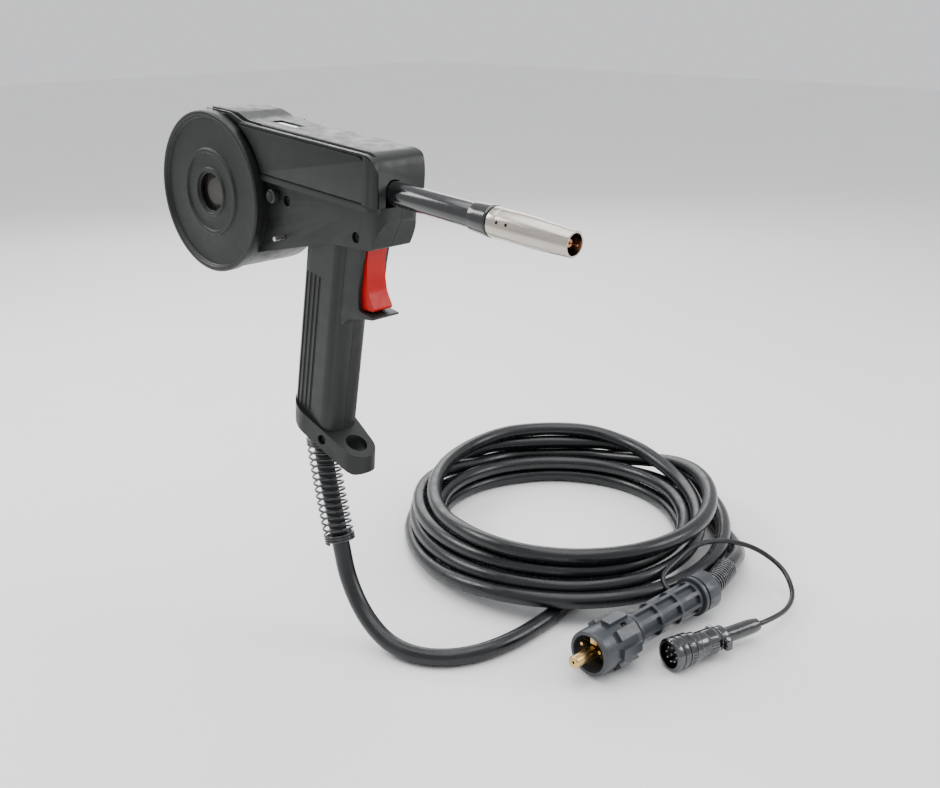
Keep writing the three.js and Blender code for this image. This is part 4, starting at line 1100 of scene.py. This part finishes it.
def add_connector():
    r = CONNECTOR_R
    profile = [(10.6, 0), (12.2, 0, 0.4), (r, 1.4, 0.4)]
    for start in (5, 11):
        profile += [(r, start), (12.5, start + 0.4), (12.5, start + 2), (r, start + 2.4)]
    ring = object_of("coupling_ring", lathe(
        [*profile, (r, 19), (11.2, 20), (11.2, 14), (10.6, 13)], "X", segments=96, radius=0.3,
    ))
    cut(ring, *ribs(40, r - 0.1, 1, 14.2, 18.4, sink=0.45, width=0.35))
    finished(ring, CONNECTOR, "chrome", "connector_ring", "connector_metal", ["connector_ring"],
             bevel=0.12, steps=2)
    insert = object_of("pin_insert", rod(10.2, "X", 9, 21.4, segments=64))
    key = block((2, 9.5), (-1.2, 1.2), (8.6, 10.2))
    join(insert, key)
    finished(insert, CONNECTOR, "dark", "frame", "dark_plastic", ["connector_insert"], bevel=0.2)
    spots = [(0, 0)] + [(6.2 * math.cos(math.pi * k / 4), 6.2 * math.sin(math.pi * k / 4))
                        for k in range(8)]
    pins = bmesh.new()
    for y, z in spots:
        pin = lathe([(0, 2.4), (0.8, 2.4, 0.7), (0.8, 9.6), (0, 9.6)], "X", (0, y, z), 20)
        mesh = bpy.data.meshes.new("pin")
        pin.to_mesh(mesh)
        pin.free()
        pins.from_mesh(mesh)
    finished(object_of("connector_pins", pins), CONNECTOR, "steel", "frame", "nickel")
    back = object_of("rear_shell", lathe([
        (10.5, 14.4), (10.9, 14.4), (10.9, 20.6), (12.2, 20.6), (12.2, 26), (10.8, 28),
        (10.8, 33), (10.3, 33.4), (10.3, 35), (10.8, 35.4), (10.8, 44), (9.4, 48), (6.8, 48),
        (6.8, 40), (8.6, 36), (8.6, 21.8), (10.5, 21.8),
    ], "X", segments=96, radius=0.3))
    cut(back, *ribs(28, 10.6, 1, 36, 43.4, sink=0.3, width=0.4))
    finished(back, CONNECTOR, "chrome", "frame", "connector_metal", ["connector_backshell"],
             bevel=0.12, steps=2)
    add_cable_clamp()


def add_cable_clamp():
    clamp = object_of("lead_clamp", lathe([
        (6.2, 48.4), (9.8, 48.4, 1), (9.8, 56, 1), (6.2, 56),
    ], "X", segments=64))
    ears = [prism(rounded([(49, y), (55.4, y), (55.4, y + 5.4), (49, y + 5.4)], 1.5), "Z", -4, 4)
            for y in (8.8, -14.2)]
    join(clamp, *ears)
    cut(clamp, *[rod(1.5, "Z", -9, 9, (52.2, y, 0), 24) for y in (11.4, -11.4)],
        block((48, 56), (-14, 14), (-0.5, 0.5)))
    finished(clamp, CONNECTOR, "chrome", "frame", "connector_metal", ["connector_clamp"],
             bevel=0.4)
    for i, y in enumerate((-11.4, 11.4), 1):
        screw = object_of(f"clamp_bolt_{i}", lathe([
            (0, -4.6), (1.2, -4.6), (1.2, 3.7), (1.9, 3.7), (1.9, 5.6, 0.7), (0, 5.6),
        ], "Z", (52.2, y, 0), 32, 0.2))
        cut(screw, block((50, 55), (y - 0.3, y + 0.3), (5.0, 6)))
        finished(screw, CONNECTOR, "steel", "frame", "connector_metal", [f"clamp_screw_{i}"])
    rings = []
    for i in range(29):
        s = 38 + i * 2
        taper = 1.0 if s < 80 else 1 - 0.16 * ((s - 80) / 14) ** 3
        ring = []
        for k in range(40):
            a = 2 * math.pi * k / 40
            ripple = 0.16 * noise.noise(Vector((s * 0.16, math.cos(a) * 1.6, math.sin(a) * 1.6)))
            r = 6.5 * taper + ripple
            ring.append((s, r * math.cos(a), r * math.sin(a)))
        rings.append(ring)
    finished(object_of("shrink_sleeve", skinned(rings)), CONNECTOR, "shrink", "frame", "rubber",
             ["cable_sleeve"])


add_plug()
add_connector()


# ------------------------------------------------------------------ pieces kept from the frame

KEPT = {
    "dark": ["gearbox", "drive_roll_screw", "pressure_arm", "tension_knob", "microswitch",
             "spool_spindle", "trigger_pin"],
    "steel": ["drive_plate", "drive_motor", "drive_roll", "pressure_roll", "pressure_pivot",
              "tension_spring", "brake_spring", "trigger_spring", "switch_button",
              "cable_clamp"],
    "brass": ["inlet_guide", "power_block", "gas_diffuser"],
    "wire": ["welding_wire"],
}


def dress_kept_nodes():
    for finish, names in KEPT.items():
        for name in names:
            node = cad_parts[name]
            node.data.materials.clear()
            node.data.materials.append(FINISH[finish])
            step = node.modifiers.new("edges", "BEVEL")
            step.width = 0.2 * MM
            step.segments = 2
            step.angle_limit = math.radians(40)
            step.harden_normals = True


dress_kept_nodes()


# ------------------------------------------------------------------ floor and light


def add_floor():
    size = 6.0
    mesh = bpy.data.meshes.new("floor")
    corners = [(-size, -size), (size, -size), (size, size), (-size, size)]
    mesh.from_pydata([(x, y, FLOOR_Z * MM) for x, y in corners], [], [(0, 1, 2, 3)])
    floor = bpy.data.objects.new("floor", mesh)
    floor.data.materials.append(FINISH["board"])
    bpy.context.scene.collection.objects.link(floor)


def add_light(name, place, aim, size, power):
    data = bpy.data.lights.new(name, "AREA")
    data.shape = "RECTANGLE"
    data.size, data.size_y = size
    data.energy = power
    lamp = bpy.data.objects.new(name, data)
    lamp.location = place
    lamp.rotation_euler = (Vector(aim) - Vector(place)).to_track_quat("-Z", "Y").to_euler()
    bpy.context.scene.collection.objects.link(lamp)


def add_studio():
    world = bpy.data.worlds.new("studio")
    world.use_nodes = True
    background = world.node_tree.nodes["Background"]
    background.inputs["Color"].default_value = (0.96, 0.97, 1.0, 1)
    background.inputs["Strength"].default_value = 0.92
    bpy.context.scene.world = world
    add_light("overhead", (0.1, 0.1, 1.3), (0.05, 0.1, 0), (1.6, 1.6), 22)
    add_light("key", (-1.0, -0.45, 0.85), (0.05, 0, 0), (0.7, 0.5), 12)
    add_light("back", (-1.3, 1.1, 0.7), (0.05, 0.1, 0), (1.6, 0.8), 13)
    add_light("rim", (1.2, 1.2, 0.7), (0, 0.1, -0.1), (0.7, 0.7), 10)


add_floor()
add_studio()
